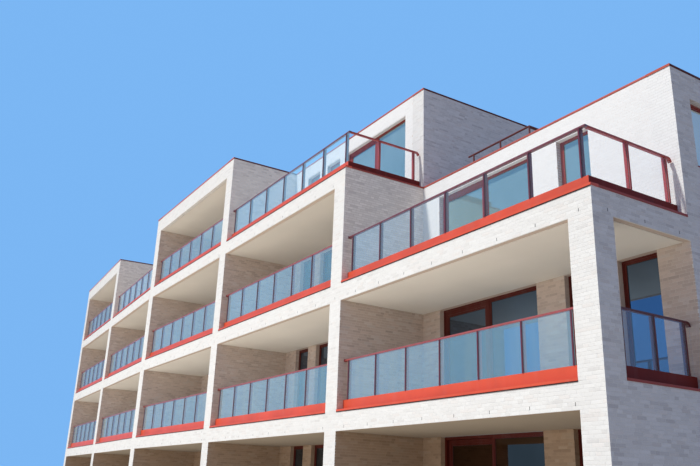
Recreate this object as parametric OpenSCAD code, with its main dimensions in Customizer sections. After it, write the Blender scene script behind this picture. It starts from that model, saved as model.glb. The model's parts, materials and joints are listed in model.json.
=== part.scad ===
/* [Block] */
// Distance between the middles of two neighbouring party walls
bay_w = 7500; // [7000:50:9000]
// Thickness of the party walls and end walls, which show as the piers of the front
wall_w = 500; // [400:10:600]
// Depth of the block from its front to its rear
block_d = 12000; // [9000:100:15000]
// Angle by which the last bays turn back from the straight ones
bend = 2.9; // [0:0.1:5]

/* [Storeys] */
// Thickness of the ground slab, which lifts the ground floor over the ground
ground_t = 200; // [150:10:400]
// Height from one floor to the next
storey_h = 3000; // [2800:10:3600]
// Thickness of the concrete floors and roofs
slab_t = 250; // [180:10:320]
// Height of the brick band in front of each floor
band_h = 430; // [360:10:600]
// Height of the brick band at a roof edge over a loggia
roof_band_h = 560; // [540:10:800]
// Height of the parapets over the roof slabs
parapet_h = 250; // [200:10:280]
// Thickness of the insulated roof covering
roofing_t = 100; // [60:10:160]

/* [Loggias] */
// Depth of the loggias and terraces, from the front to the inner wall
loggia_d = 2440; // [1800:10:3000]
// Thickness of the brick bands and of the roof edges' brick
band_t = 120; // [100:10:160]
// Shadow gap round the loggias' ceilings
ceiling_gap = 15; // [8:1:30]
// Depth of the free-standing pier at the near corner
corner_pier_d = 476; // [400:4:600]

/* [Walls] */
// Thickness of the inner walls behind the loggias
inner_wall_t = 300; // [280:10:400]
// Thickness of the rear walls
rear_wall_t = 300; // [240:10:400]

/* [Windows] */
// Height of the glazed units' heads over the floor
head_h = 2570; // [2300:10:2570]
// Width of a wide glazed unit, a sliding leaf beside a fixed pane
unit_w = 3220; // [2400:10:3300]
// Distance from the middle of a unit's mullion to its left edge
unit_split = 1630; // [1300:10:1800]
// Distance from the first bay's unit to its party wall
end_unit_gap = 670; // [500:10:800]
// Distance from the other bays' units to their party wall
unit_gap = 350; // [300:5:600]
// Width of the first bay's narrow windows
side_window_w = 860; // [700:10:900]
// Distance from the first of them to the end wall
side_window_x = 2340; // [2300:10:2500]
// Distance from the first to the second, which the penthouse lacks
side_window_pitch = 1310; // [1250:10:1350]
// Width of the narrow windows of the other bays
slot_w = 810; // [700:10:900]
// Distance from the first narrow window to the party wall
slot_x = 730; // [500:10:900]
// The same distance on the third floor
top_slot_x = 930; // [500:10:950]
// Distance from one narrow window to the next
slot_pitch = 1320; // [1200:10:1400]
// Distance from a wall's face back to its windows
reveal = 120; // [80:5:150]
// Face width of a window frame's bars
frame_w = 60; // [50:5:80]
// Depth of a window frame
frame_d = 70; // [60:5:100]
// Face width of the step round the glass, part of each bar
step_w = 20; // [10:1:22]
// Distance by which that step lies behind the bar's face
step_d = 12; // [6:1:12]
// Face width of a sliding leaf's bars
sash_w = 100; // [80:5:130]
// Distance by which an upper leaf lies behind its frame's face
leaf_set = 10; // [5:1:15]
// Thickness of the insulating glass
pane_t = 30; // [20:2:30]
// Height of the sills under the end and rear windows
window_sill_h = 30; // [20:2:40]
// Fall of all sills towards their front edge
sill_fall = 8; // [4:1:10]
// Distance from the back of the inner walls to the end wall's windows
end_window_gap = 200; // [160:10:700]
// Width of the end wall's windows
end_window_w = 2200; // [1000:50:2400]
// Height of the end wall's window sills over the floor
end_sill_h = 1080; // [800:10:1200]
// Height of the end wall's window heads over the floor
end_head_h = 2470; // [2200:10:2570]
// Width of the rear walls' wide windows
rear_wide_w = 2400; // [1800:50:2600]
// Width of the rear walls' narrow windows
rear_narrow_w = 1200; // [800:50:1400]
// Distance from the rear windows to the party walls
rear_gap = 900; // [600:50:1000]
// Height of the rear window sills over the floor
rear_sill_h = 800; // [600:10:1000]

/* [Sliding doors] */
// Gap round a moving leaf
leaf_gap = 5; // [5:1:8]
// Thickness of a moving leaf
leaf_t = 54; // [50:2:60]
// Distance by which a closed leaf overlaps the fixed mullion
leaf_lap = 40; // [30:5:60]
// Radius of the rollers under a leaf
roller_r = 22; // [16:1:30]
// Gap between a roller and its rail
roller_gap = 0.3; // [0.2:0.1:0.4]
// Height of the threshold
threshold_h = 60; // [40:5:80]
// Width of the recessed pull in a leaf's stile
pull_w = 26; // [20:2:36]
// Length of the recessed pull
pull_l = 180; // [120:10:240]
// Depth of the recessed pull
pull_d = 10; // [6:1:12]
// Height of the pull's middle over the floor
pull_z = 1050; // [950:10:1150]

/* [Balustrades] */
// Height of the handrails' top over the floor
rail_h = 1180; // [1100:10:1300]
// Height of the third floor's handrails, which stand on a lower edge
top_rail_h = 1120; // [1000:10:1200]
// Distance from the front of the block back to the fascias
fascia_y = 165; // [120:5:200]
// Height of the fascias' top over the floor
fascia_h = 265; // [180:5:300]
// Height of the third floor's fascias
top_fascia_h = 265; // [100:5:300]
// Thickness of the fascias
fascia_t = 12; // [8:1:20]
// Height of the sill below each fascia
sill_h = 50; // [30:5:60]
// Distance by which sills and copings overhang the brick
lip = 12; // [5:1:25]
// Depth of the posts, across the balustrade
post_d = 60; // [40:5:80]
// Thickness of the posts, along the balustrade
post_t = 45; // [20:1:60]
// Width of the posts' base plates, along the balustrade
base_w = 90; // [60:2:120]
// Depth of the posts' base plates, across the balustrade
base_d = 80; // [70:5:100]
// Thickness of the posts' base plates
base_t = 10; // [6:1:12]
// Number of panes between the end posts of a bay
pane_count = 6; // [4:1:8]
// Distance from the end posts to the walls
post_gap = 200; // [120:10:300]
// Distance from the last post to an outer corner of a balustrade
corner_gap = 128; // [80:4:200]
// Distance between the side posts of a terrace
side_post_pitch = 1030; // [800:10:1200]
// Distance between the side posts of the third floor's terrace
top_side_post_pitch = 1110; // [900:10:1200]
// Distance from a side balustrade's rounded end to the wall
end_gap = 20; // [10:5:100]
// Radius of the bend at a side handrail's end
bend_r = 90; // [60:5:120]
// Width of the handrail
rail_w = 70; // [50:2:80]
// Distance by which the handrail stands in front of the glass
rail_front = 6; // [2:1:15]
// Height of the handrail's section
rail_t = 40; // [30:2:50]
// Radius of the handrail's edges
rail_edge_r = 8; // [4:1:10]
// Thickness of the balustrade glass
guard_glass_t = 12; // [8:1:20]
// Joint between two panes in front of a post
pane_joint = 10; // [6:1:20]

/* [Roofs] */
// Height of the copings
coping_t = 50; // [30:5:80]
// Height of the drips under the copings' edges
drip_h = 12; // [8:1:20]
// Bevel along the copings' upper edges
coping_edge = 6; // [3:1:8]
// Width of the parapets over the roof edges
parapet_t = 300; // [250:10:400]
// Distance from the front of the penthouse to the roof rail
roof_rail_gap = 1060; // [700:10:1600]
// Distance from the near end wall to the roof rail's corner
roof_rail_x = 4610; // [4000:10:5000]
// Length of the roof rail's front
roof_rail_w = 2260; // [1800:10:2500]
// Length of the roof rail's side
roof_rail_d = 1200; // [800:10:1600]
// Height of the roof rail over the parapet
roof_rail_h = 1000; // [900:10:1100]
// Diameter of the roof rail's tube
tube_d = 50; // [40:2:60]
// Diameter of the roof rail's posts
tube_post_d = 46; // [36:2:50]
// Distance from the roof rail's ends to its end posts
tube_end = 100; // [80:10:160]
// Diameter of the flanges under the roof rail's posts
flange_d = 130; // [100:10:160]
// Thickness of those flanges
flange_t = 10; // [6:1:16]

/* [Hidden] */

bays = 5;
straight_bays = 3;
top_floor = 3;
// Storeys with a loggia or an open ground floor in each bay, and storeys in all
loggia_storeys = [2, 3, 4, 3, 4];
all_storeys = [3, 4, 4, 4, 4];
door_bays = [1, 2];
brick = "#e9e6df";
concrete = "#c9c6bf";
plaster = "#b8ad9b";
frame_red = "#5a2018";
sash_red = "#6b2a22";
glass_blue = "#8fb4c4";
fascia_red = "#d9553f";
rail_pink = "#b9615a";
felt = "#8f9193";

wing_x = -straight_bays * bay_w - wall_w;
wing_len = (bays - straight_bays) * bay_w;
left_edge = wing_x - (wing_len + lip) * cos(bend) - lip * sin(bend);
rear_edge = (wing_len + lip) * sin(bend) + (block_d + lip) * cos(bend);
centre_x = (lip + left_edge) / 2;
centre_y = (rear_edge - lip) / 2;
inner_y = loggia_d + inner_wall_t;
rear_y = block_d - rear_wall_t;
frame_y = loggia_d + reveal;
end_window_y = inner_y + end_window_gap;
drip_d = lip / 2;
cut = 10;
overlap = 1;
curve_fn = 48;
tube_fn = 24;
edge_fn = 16;

function loggias(i) = loggia_storeys[i - 1];
function storeys(i) = all_storeys[i - 1];
function floor_z(k) = ground_t + k * storey_h;
function left_x(i) = -i * bay_w;
function right_x(i) = -(i - 1) * bay_w - wall_w;
function roof_z(i) = floor_z(storeys(i));
function roof_slab_z(i) = roof_z(i) - parapet_h;
function is_terrace(i, k) = k == loggias(i) && k < storeys(i);
function has_loggia_roof(i) = loggias(i) == storeys(i);
// Where a balustrade ends on its right: a lower neighbour's side is open, and so is the end wall's
function guard_right(i, k) = is_terrace(i, k) && (i == 1 || storeys(i - 1) == k) ? -(i - 1) * bay_w : right_x(i);
function is_open_corner(i, k) = guard_right(i, k) > right_x(i);

// Front openings of a bay's storey, as the left edge and the width of each
function slots(i, k) = let (first = left_x(i) + (k == top_floor ? top_slot_x : slot_x)) [
    [first, slot_w],
    [first + slot_pitch, slot_w]
];
function units(i) = [i == 1 ? left_x(i) + end_unit_gap : right_x(i) - unit_gap - unit_w, unit_w];
function side_windows(k) = [
    for (n = [0:k < loggias(1) ? 1 : 0]) [n * side_window_pitch - side_window_x - wall_w, side_window_w]
];
function windows(i, k) = i == 1 ? side_windows(k) : slots(i, k);
function rear_openings(i) = [
    [left_x(i) + rear_gap, rear_wide_w],
    [right_x(i) - rear_gap - rear_narrow_w - (i == straight_bays + 1 ? block_d * tan(bend) : 0), rear_narrow_w]
];
function is_door(i, k) = k == 0 && len(search(i, door_bays)) > 0;

// Posts of a front balustrade, as the distances of their middles along X in whole millimetres
function post_line(i, k) = let (
    first = left_x(i) + post_gap,
    last = is_open_corner(i, k) ? guard_right(i, k) - fascia_y - corner_gap : right_x(i) - post_gap
) [for (n = [0:pane_count]) round(first + (last - first) * n / pane_count)];

module block(x0, x1, y0, y1, z0, z1) {
    translate([x0, y0, z0]) cube([x1 - x0, y1 - y0, z1 - z0]);
}

// A bar along X with its section, drawn in X and Y, standing in the YZ plane
module bar_along_x(x0, x1) {
    translate([x0, 0, 0]) rotate([90, 0, 90]) linear_extrude(x1 - x0) children();
}

module rounded_rect(width, height, radius) {
    offset(r = radius, $fn = edge_fn) offset(delta = -radius) square([width, height]);
}

module placed() {
    translate([-centre_x, -centre_y, 0]) children();
}

module turned() {
    translate([wing_x, 0, 0]) rotate([0, 0, -bend]) translate([-wing_x, 0, 0]) children();
}

// Puts a bay's piece in its place; the bay behind the bend ends at the straight party wall, or
// at the overhang of that wall's coping
module in_bay(i, overhang = 0) {
    if (i <= straight_bays) {
        children();
    } else if (i == straight_bays + 1) {
        difference() {
            turned() children();
            block(wing_x - overhang, wing_x + bay_w, -bay_w, block_d + bay_w, -cut, floor_z(bays));
        }
    } else {
        turned() children();
    }
}

module bay_block(i, y0, y1, z0, z1) {
    in_bay(i) block(left_x(i), right_x(i), y0, y1, z0, z1);
}

module ground_slab() {
    color(concrete) placed() {
        block(wing_x, 0, 0, block_d, 0, ground_t);
        in_bay(straight_bays + 1) block(left_x(bays), wing_x, 0, block_d, 0, ground_t);
        turned() block(left_x(bays) - wall_w, left_x(straight_bays + 1), 0, block_d, 0, ground_t);
    }
}

module floor_slab(k) {
    color(concrete) placed() for (i = [1:bays]) if (k < storeys(i)) {
        bay_block(i, band_t, rear_y, floor_z(k) - slab_t, floor_z(k));
        if (i == 1 && is_terrace(i, k)) {
            block(right_x(i), -band_t, band_t, loggia_d, floor_z(k) - slab_t, floor_z(k));
        }
    }
}

module roof_slabs() {
    color(concrete) placed() for (i = [1:bays]) {
        front = has_loggia_roof(i) ? band_t : inner_y;
        bay_block(i, front, rear_y, roof_slab_z(i) - slab_t, roof_slab_z(i));
    }
}

module roof_covering() {
    color(felt) placed() for (i = [1:bays]) {
        front = has_loggia_roof(i) ? parapet_t : inner_y;
        bay_block(i, front, rear_y, roof_slab_z(i), roof_slab_z(i) + roofing_t);
    }
}

module roof_upstands() {
    color(concrete) placed() for (i = [1:bays]) if (has_loggia_roof(i)) {
        bay_block(i, band_t, parapet_t, roof_slab_z(i), roof_z(i));
    }
}

module brick_wall(i) {
    front_top = floor_z(max(loggias(i), loggias(min(i + 1, bays))));
    block(left_x(i) - wall_w, left_x(i), 0, block_d, ground_t, front_top);
}

module party_walls() {
    color(brick) placed() for (i = [1:bays - 1]) {
        if (i <= straight_bays) {
            brick_wall(i);
        } else {
            turned() brick_wall(i);
        }
    }
}

module left_end_wall() {
    color(brick) placed() turned() brick_wall(bays);
}

module end_window_holes() {
    for (k = [0:storeys(1) - 1]) {
        block(-wall_w - cut, cut, end_window_y, end_window_y + end_window_w,
            floor_z(k) + end_sill_h, floor_z(k) + end_head_h);
    }
}

module right_end_wall() {
    color(brick) placed() difference() {
        block(-wall_w, 0, loggia_d, block_d, ground_t, roof_z(1));
        end_window_holes();
    }
}

module end_wall_ground() {
    color(brick) placed() block(-wall_w, 0, 0, loggia_d, ground_t, floor_z(1));
}

module corner_pier() {
    color(brick) placed() block(-wall_w, 0, 0, corner_pier_d, floor_z(1), floor_z(2) - band_h);
}

module penthouse_side_wall() {
    color(brick) placed() block(left_x(1) - wall_w, left_x(1), loggia_d, block_d, roof_z(1), roof_z(2));
}

module front_bands() {
    color(brick) placed() for (i = [1:bays], k = [1:top_floor]) if (k <= loggias(i) && k < storeys(i)) {
        if (i == 1 && is_terrace(i, k)) {
            block(left_x(i), 0, 0, band_t, floor_z(k) - band_h, floor_z(k));
        } else {
            bay_block(i, 0, band_t, floor_z(k) - band_h, floor_z(k));
        }
    }
}

module roof_bands() {
    color(brick) placed() for (i = [1:bays]) if (has_loggia_roof(i)) {
        bay_block(i, 0, band_t, roof_z(i) - roof_band_h, roof_z(i));
    }
}

module end_band() {
    top = floor_z(loggias(1));
    color(brick) placed() block(-band_t, 0, band_t, loggia_d, top - band_h, top);
}

// The first bay's upper ceiling runs on over the corner pier to the end band
module ceiling_block(i, right, z0, z1) {
    in_bay(i, ceiling_gap) block(left_x(i) + ceiling_gap, right - ceiling_gap,
        band_t + ceiling_gap, loggia_d - ceiling_gap, z0, z1);
}

module loggia_ceilings() {
    color(plaster) placed() for (i = [1:bays]) {
        for (k = [1:min(loggias(i), storeys(i) - 1)]) {
            right = i == 1 && k == loggias(i) ? -band_t : right_x(i);
            ceiling_block(i, right, floor_z(k) - band_h, floor_z(k) - slab_t);
        }
        if (has_loggia_roof(i)) {
            ceiling_block(i, right_x(i), roof_z(i) - roof_band_h, roof_slab_z(i) - slab_t);
        }
    }
}

// A top loggia's ceiling is lower, and so are the heads of its windows
function head(i, k) = has_loggia_roof(i) && k == storeys(i) - 1 ? storey_h - roof_band_h : head_h;
function inner_top(i, k) = k < storeys(i) - 1
    ? floor_z(k + 1) - slab_t
    : (has_loggia_roof(i) ? roof_slab_z(i) - slab_t : roof_z(i));

module inner_opening(window, i, k) {
    block(window[0], window[0] + window[1], loggia_d - cut, inner_y + cut,
        floor_z(k), floor_z(k) + head(i, k));
}

module inner_wall(k) {
    color(brick) placed() for (i = [1:bays]) if (k < storeys(i)) {
        in_bay(i) difference() {
            block(left_x(i), right_x(i), loggia_d, inner_y, floor_z(k), inner_top(i, k));
            for (window = windows(i, k)) inner_opening(window, i, k);
            if (is_door(i, k)) {
                block(units(i)[0], units(i)[0] + unit_w, loggia_d - cut, inner_y + cut,
                    floor_z(k), inner_top(i, k) + cut);
            } else {
                inner_opening(units(i), i, k);
            }
        }
    }
}

module doorway_lintels() {
    color(concrete) placed() for (i = door_bays) {
        block(units(i)[0], units(i)[0] + unit_w, loggia_d, inner_y, floor_z(0) + head_h, inner_top(i, 0));
    }
}

module rear_walls() {
    color(brick) placed() for (i = [1:bays]) in_bay(i) difference() {
        block(left_x(i), right_x(i), rear_y, block_d, ground_t, roof_z(i));
        for (window = rear_openings(i), k = [0:storeys(i) - 1]) {
            block(window[0], window[0] + window[1], rear_y - cut, block_d + cut,
                floor_z(k) + rear_sill_h, floor_z(k) + head_h);
        }
    }
}

// A window's ring of bars in the XZ plane, from its lower left corner at the origin
module frame_ring(width, height, bar, depth) {
    difference() {
        cube([width, depth, height]);
        translate([bar, -cut, bar]) cube([width - 2 * bar, depth + 2 * cut, height - 2 * bar]);
    }
}

// A ring whose bars step back towards the glass; the outside is at Y = 0
module stepped_ring(width, height, bar, depth) {
    frame_ring(width, height, bar - step_w, depth);
    translate([0, step_d, 0]) frame_ring(width, height, bar, depth - step_d);
}

// An upright bar with its middle at X = 0 and a step on both sides
module mullion(height) {
    translate([step_w - frame_w / 2, 0, frame_w - step_w])
        cube([frame_w - 2 * step_w, frame_d, height - 2 * (frame_w - step_w)]);
    translate([-frame_w / 2, step_d, frame_w]) cube([frame_w, frame_d - step_d, height - 2 * frame_w]);
}

module plain_frame(width, height, with_mullion) {
    stepped_ring(width, height, frame_w, frame_d);
    if (with_mullion) translate([width / 2, 0, 0]) mullion(height);
}

module plain_pane(width, height, with_mullion) {
    clear = with_mullion ? (width - 3 * frame_w) / 2 : width - 2 * frame_w;
    for (n = [0:with_mullion ? 1 : 0]) {
        translate([frame_w + n * (clear + frame_w), (frame_d - pane_t) / 2, frame_w])
            cube([clear, pane_t, height - 2 * frame_w]);
    }
}

// A wide unit on an upper storey: a closed leaf with thick bars, a mullion and a fixed pane
module unit_frame(height) {
    plain_frame(unit_w, height, false);
    translate([unit_split, 0, 0]) mullion(height);
    translate([frame_w, leaf_set, frame_w])
        stepped_ring(unit_split - frame_w * 3 / 2, height - 2 * frame_w, sash_w, frame_d - leaf_set);
}

module unit_panes(height) {
    leaf = unit_split - frame_w * 3 / 2 - 2 * sash_w;
    fixed = unit_w - unit_split - frame_w * 3 / 2;
    depth = (frame_d - pane_t) / 2;
    translate([frame_w + sash_w, depth + leaf_set, frame_w + sash_w])
        cube([leaf, pane_t, height - 2 * frame_w - 2 * sash_w]);
    translate([unit_split + frame_w / 2, depth, frame_w]) cube([fixed, pane_t, height - 2 * frame_w]);
}

module window_frames() {
    color(frame_red) placed() for (i = [1:bays], k = [0:storeys(i) - 1]) in_bay(i) {
        for (window = windows(i, k)) {
            translate([window[0], frame_y, floor_z(k)]) plain_frame(window[1], head(i, k), false);
        }
        if (!is_door(i, k)) translate([units(i)[0], frame_y, floor_z(k)]) unit_frame(head(i, k));
    }
}

module window_glass() {
    color(glass_blue) placed() for (i = [1:bays], k = [0:storeys(i) - 1]) in_bay(i) {
        for (window = windows(i, k)) {
            translate([window[0], frame_y, floor_z(k)]) plain_pane(window[1], head(i, k), false);
        }
        if (!is_door(i, k)) translate([units(i)[0], frame_y, floor_z(k)]) unit_panes(head(i, k));
    }
}

module rear_window_places() {
    for (i = [1:bays], k = [0:storeys(i) - 1]) in_bay(i) for (window = rear_openings(i)) {
        $width = window[1];
        $height = head_h - rear_sill_h;
        translate([window[0] + $width, block_d - reveal, floor_z(k) + rear_sill_h])
            rotate([0, 0, 180]) children();
    }
}

module end_window_places() {
    for (k = [0:storeys(1) - 1]) {
        $width = end_window_w;
        $height = end_head_h - end_sill_h;
        translate([-reveal, end_window_y, floor_z(k) + end_sill_h]) rotate([0, 0, 90]) children();
    }
}

// A window with its sill, whose front edge overhangs the brick
module silled_frame() {
    bar_along_x(0, $width) polygon([
        [-reveal - lip, 0],
        [frame_d, 0],
        [frame_d, window_sill_h],
        [0, window_sill_h],
        [-reveal - lip, window_sill_h - sill_fall]
    ]);
    translate([0, 0, window_sill_h])
        plain_frame($width, $height - window_sill_h, $width > rear_narrow_w);
}

module silled_pane() {
    translate([0, 0, window_sill_h]) plain_pane($width, $height - window_sill_h, $width > rear_narrow_w);
}

module rear_window_frames() {
    color(frame_red) placed() {
        rear_window_places() silled_frame();
        end_window_places() silled_frame();
    }
}

module rear_window_glass() {
    color(glass_blue) placed() {
        rear_window_places() silled_pane();
        end_window_places() silled_pane();
    }
}

// The ground floor's doors: the fixed pane stands in front and the leaf slides behind it
door_d = inner_wall_t - reveal;
leaf_y = frame_d + leaf_gap;
leaf_w = unit_split + frame_w / 2 + leaf_lap - frame_w - leaf_gap;
leaf_z = threshold_h + 2 * leaf_gap;
leaf_h = head_h - frame_w - leaf_gap - leaf_z;
door_travel = unit_w - frame_w - leaf_gap - (frame_w + leaf_gap + leaf_w);
rail_rib_w = 8;

module at_doors() {
    placed() for (i = door_bays) translate([units(i)[0], frame_y, floor_z(0)]) children();
}

module door_jambs() {
    color(frame_red) at_doors() {
        for (x = [0, unit_w - frame_w]) {
            translate([x, 0, threshold_h]) cube([frame_w, door_d, head_h - frame_w - threshold_h]);
        }
        translate([unit_split - frame_w / 2, 0, threshold_h])
            cube([frame_w, frame_d, head_h - frame_w - threshold_h]);
    }
}

module door_heads_and_thresholds() {
    color(frame_red) at_doors() {
        translate([0, 0, head_h - frame_w]) cube([unit_w, door_d, frame_w]);
        cube([unit_w, door_d, threshold_h]);
        translate([frame_w, leaf_y + (leaf_t - rail_rib_w) / 2, threshold_h])
            cube([unit_w - 2 * frame_w, rail_rib_w, leaf_gap]);
    }
}

module door_fixed_panes() {
    color(glass_blue) at_doors() {
        translate([unit_split + frame_w / 2, (frame_d - pane_t) / 2, threshold_h])
            cube([unit_w - unit_split - frame_w * 3 / 2, pane_t, head_h - frame_w - threshold_h]);
    }
}

module at_leaf(i) {
    placed() translate([units(i)[0] + frame_w + leaf_gap, frame_y + leaf_y, floor_z(0) + leaf_z]) children();
}

module door_leaf(i) {
    roller_inset = sash_w + roller_r;
    color(sash_red) at_leaf(i) {
        difference() {
            stepped_ring(leaf_w, leaf_h, sash_w, leaf_t);
            translate([(sash_w - step_w - pull_w) / 2, pull_d, pull_z - leaf_z - pull_l / 2])
                rotate([90, 0, 0]) linear_extrude(pull_d + cut) rounded_rect(pull_w, pull_l, pull_w / 2 - overlap);
        }
        for (x = [roller_inset, leaf_w - roller_inset]) {
            translate([x, leaf_t / 2, roller_r + roller_gap - leaf_gap]) rotate([90, 0, 0])
                cylinder(r = roller_r, h = rail_rib_w, center = true, $fn = curve_fn);
        }
    }
}

module door_leaf_glass(i) {
    color(glass_blue) at_leaf(i) translate([sash_w, (leaf_t - pane_t) / 2, sash_w])
        cube([leaf_w - 2 * sash_w, pane_t, leaf_h - 2 * sash_w]);
}

// Front balustrades stand on every loggia and terrace above the ground floor
module each_guard() {
    for (i = [1:bays], k = [1:top_floor]) if (k <= loggias(i) && k < storeys(i)) in_bay(i) {
        $i = i;
        $k = k;
        children();
    }
}

function fascia_top(k) = floor_z(k) + (k == top_floor ? top_fascia_h : fascia_h);
function rail_top(k) = floor_z(k) + (k == top_floor ? top_rail_h : rail_h);

post_y = fascia_y + fascia_t;
glass_y = post_y - guard_glass_t;
guard_rail_y = glass_y - rail_front;

module sill(x0, x1, k) {
    translate([0, 0, floor_z(k)]) bar_along_x(x0, x1)
        polygon([[-lip, 0], [post_y, 0], [post_y, sill_h], [fascia_y, sill_h], [-lip, sill_h - sill_fall]]);
}

module sills() {
    color(fascia_red) placed() each_guard()
        sill(left_x($i), guard_right($i, $k) + (is_open_corner($i, $k) ? lip : 0), $k);
}

module fascias() {
    color(fascia_red) placed() each_guard()
        block(left_x($i), guard_right($i, $k) - (is_open_corner($i, $k) ? fascia_y : 0),
            fascia_y, post_y, floor_z($k) + sill_h, fascia_top($k));
}

module posts(line, k) {
    for (x = line) {
        block(x - post_t / 2, x + post_t / 2, post_y, post_y + post_d, floor_z(k), rail_top(k) - rail_t);
        block(x - base_w / 2, x + base_w / 2, post_y, post_y + base_d, floor_z(k), floor_z(k) + base_t);
    }
}

module rail(x0, x1, k) {
    translate([0, guard_rail_y, rail_top(k) - rail_t])
        bar_along_x(x0, x1) rounded_rect(rail_w, rail_t, rail_edge_r);
}

module balustrade_frames() {
    color(rail_pink) placed() each_guard() {
        posts(post_line($i, $k), $k);
        rail(left_x($i), guard_right($i, $k) - (is_open_corner($i, $k) ? guard_rail_y : 0), $k);
    }
}

module pane(x0, x1, k) {
    block(x0, x1, glass_y, glass_y + guard_glass_t, fascia_top(k), rail_top(k) - rail_t);
}

// Panes stand in front of the posts and meet at a joint before each; where no pane follows, the
// last one covers its post
module panes_between(line, k, follows_one, runs_on) {
    last = len(line) - 1;
    for (n = [1:last]) {
        start = n == 1 && !follows_one ? -post_t : pane_joint;
        end = n == last && !runs_on ? post_t : -pane_joint;
        pane(line[n - 1] + start / 2, line[n] + end / 2, k);
    }
}

// Past its last post a pane runs on to an outer corner, where it meets the side's glass
module balustrade_glass() {
    color(glass_blue, 0.5) placed() each_guard() {
        line = post_line($i, $k);
        panes_between(line, $k, false, is_open_corner($i, $k));
        if (is_open_corner($i, $k)) {
            pane(line[len(line) - 1] + pane_joint / 2, guard_right($i, $k) - glass_y, $k);
        }
    }
}

// Side balustrades run back from an open corner, or from the corner pier; seen from the end
// they are built like the front ones, with the distance along Y measured as X
module each_side_guard() {
    last_post = loggia_d - post_gap;
    pier_posts = [corner_pier_d + post_gap, (corner_pier_d + loggia_d) / 2, last_post];
    for (guard = [
        [0, 1, corner_pier_d, pier_posts],
        [0, 2, 0, [last_post - side_post_pitch, last_post]],
        [left_x(1), 3, 0, [last_post - top_side_post_pitch, last_post]]
    ]) {
        $k = guard[1];
        $start = guard[2];
        $line = guard[3];
        $sill_end = loggia_d - ($k == storeys(1) ? lip : 0);
        translate([guard[0], 0, 0]) rotate([0, 0, 90]) children();
    }
}

module side_sills() {
    color(fascia_red) placed() each_side_guard() sill(max($start, post_y), $sill_end, $k);
}

module side_fascias() {
    color(fascia_red) placed() each_side_guard()
        block(max($start, post_y), loggia_d, fascia_y, post_y, floor_z($k) + sill_h, fascia_top($k));
}

side_end = loggia_d - end_gap;

module side_balustrade_frames() {
    color(rail_pink) placed() each_side_guard() {
        posts($line, $k);
        rail(max($start, guard_rail_y + rail_w), side_end - bend_r, $k);
        translate([side_end - bend_r, guard_rail_y + rail_w, rail_top($k) - bend_r]) rotate([90, 0, 0])
            rotate_extrude(angle = 90, $fn = curve_fn)
                translate([bend_r - rail_t, 0]) rounded_rect(rail_t, rail_w, rail_edge_r);
    }
}

module side_balustrade_glass() {
    inner_r = bend_r - rail_t;
    color(glass_blue, 0.5) placed() each_side_guard() {
        if ($start == 0) pane(glass_y + guard_glass_t, $line[0] - pane_joint / 2, $k);
        panes_between($line, $k, $start == 0, true);
        glass_top = rail_top($k) - rail_t;
        end_start = $line[len($line) - 1] + pane_joint / 2;
        translate([0, glass_y + guard_glass_t, 0]) rotate([90, 0, 0]) linear_extrude(guard_glass_t) {
            translate([end_start, fascia_top($k)])
                square([side_end - bend_r - end_start, glass_top - fascia_top($k)]);
            translate([side_end - bend_r - overlap, fascia_top($k)])
                square([inner_r + overlap, glass_top - inner_r - fascia_top($k)]);
            translate([side_end - bend_r, glass_top - inner_r]) intersection() {
                circle(r = inner_r, $fn = curve_fn);
                translate([-overlap, -overlap]) square(inner_r + overlap);
            }
        }
    }
}

// A coping's section over its whole width, with a drip under both edges
module coping_section(width) {
    polygon([
        [drip_d, 0],
        [width - drip_d, 0],
        [width - drip_d, drip_h],
        [width, drip_h],
        [width, coping_t - coping_edge],
        [width - coping_edge, coping_t],
        [coping_edge, coping_t],
        [0, coping_t - coping_edge],
        [0, drip_h],
        [drip_d, drip_h]
    ]);
}

module coping_along(x0, x1, y0, y1, top) {
    translate([0, y0, top]) bar_along_x(x0, x1) coping_section(y1 - y0);
}

module coping_across(x0, x1, y0, y1, top) {
    translate([x0, y1, top]) rotate([90, 0, 0]) linear_extrude(y1 - y0) coping_section(x1 - x0);
}

module wall_coping(i) {
    coping_across(left_x(i) - wall_w - lip, left_x(i) + lip, -lip, block_d + lip, roof_z(i));
}

module copings_along() {
    color(fascia_red) placed() for (i = [1:bays]) in_bay(i, lip) {
        front = has_loggia_roof(i) ? 0 : loggia_d;
        left = i == 1 ? left_x(i) : left_x(i) + lip;
        coping_along(left, right_x(i) - lip, front - lip, front + parapet_t + lip, roof_z(i));
        coping_along(left, right_x(i) - lip, rear_y - lip, block_d + lip, roof_z(i));
    }
}

module copings_across() {
    color(fascia_red) placed() {
        coping_across(-wall_w - lip, lip, loggia_d - lip, block_d + lip, roof_z(1));
        coping_across(left_x(1) - wall_w - lip, left_x(1) + lip, loggia_d - lip, block_d + lip, roof_z(2));
        for (i = [2:straight_bays]) wall_coping(i);
        turned() for (i = [straight_bays + 1:bays]) wall_coping(i);
    }
}

module roof_rail() {
    base = roof_slab_z(1) + roofing_t;
    top = roof_z(1) + roof_rail_h - tube_d / 2;
    post_run = roof_rail_w / 2 - tube_end;
    color(rail_pink) placed() translate([-roof_rail_x, loggia_d + roof_rail_gap, 0]) {
        translate([-roof_rail_w, 0, top]) rotate([0, 90, 0]) cylinder(d = tube_d, h = roof_rail_w, $fn = tube_fn);
        translate([0, 0, top]) rotate([-90, 0, 0]) cylinder(d = tube_d, h = roof_rail_d, $fn = tube_fn);
        translate([0, 0, top]) sphere(d = tube_d, $fn = tube_fn);
        for (place = [[-2 * post_run, 0], [-post_run, 0], [0, 0], [0, roof_rail_d - tube_end]]) {
            translate([place[0], place[1], base]) {
                cylinder(d = tube_post_d, h = top - base, $fn = tube_fn);
                cylinder(d = flange_d, h = flange_t, $fn = curve_fn);
            }
        }
    }
}

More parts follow.
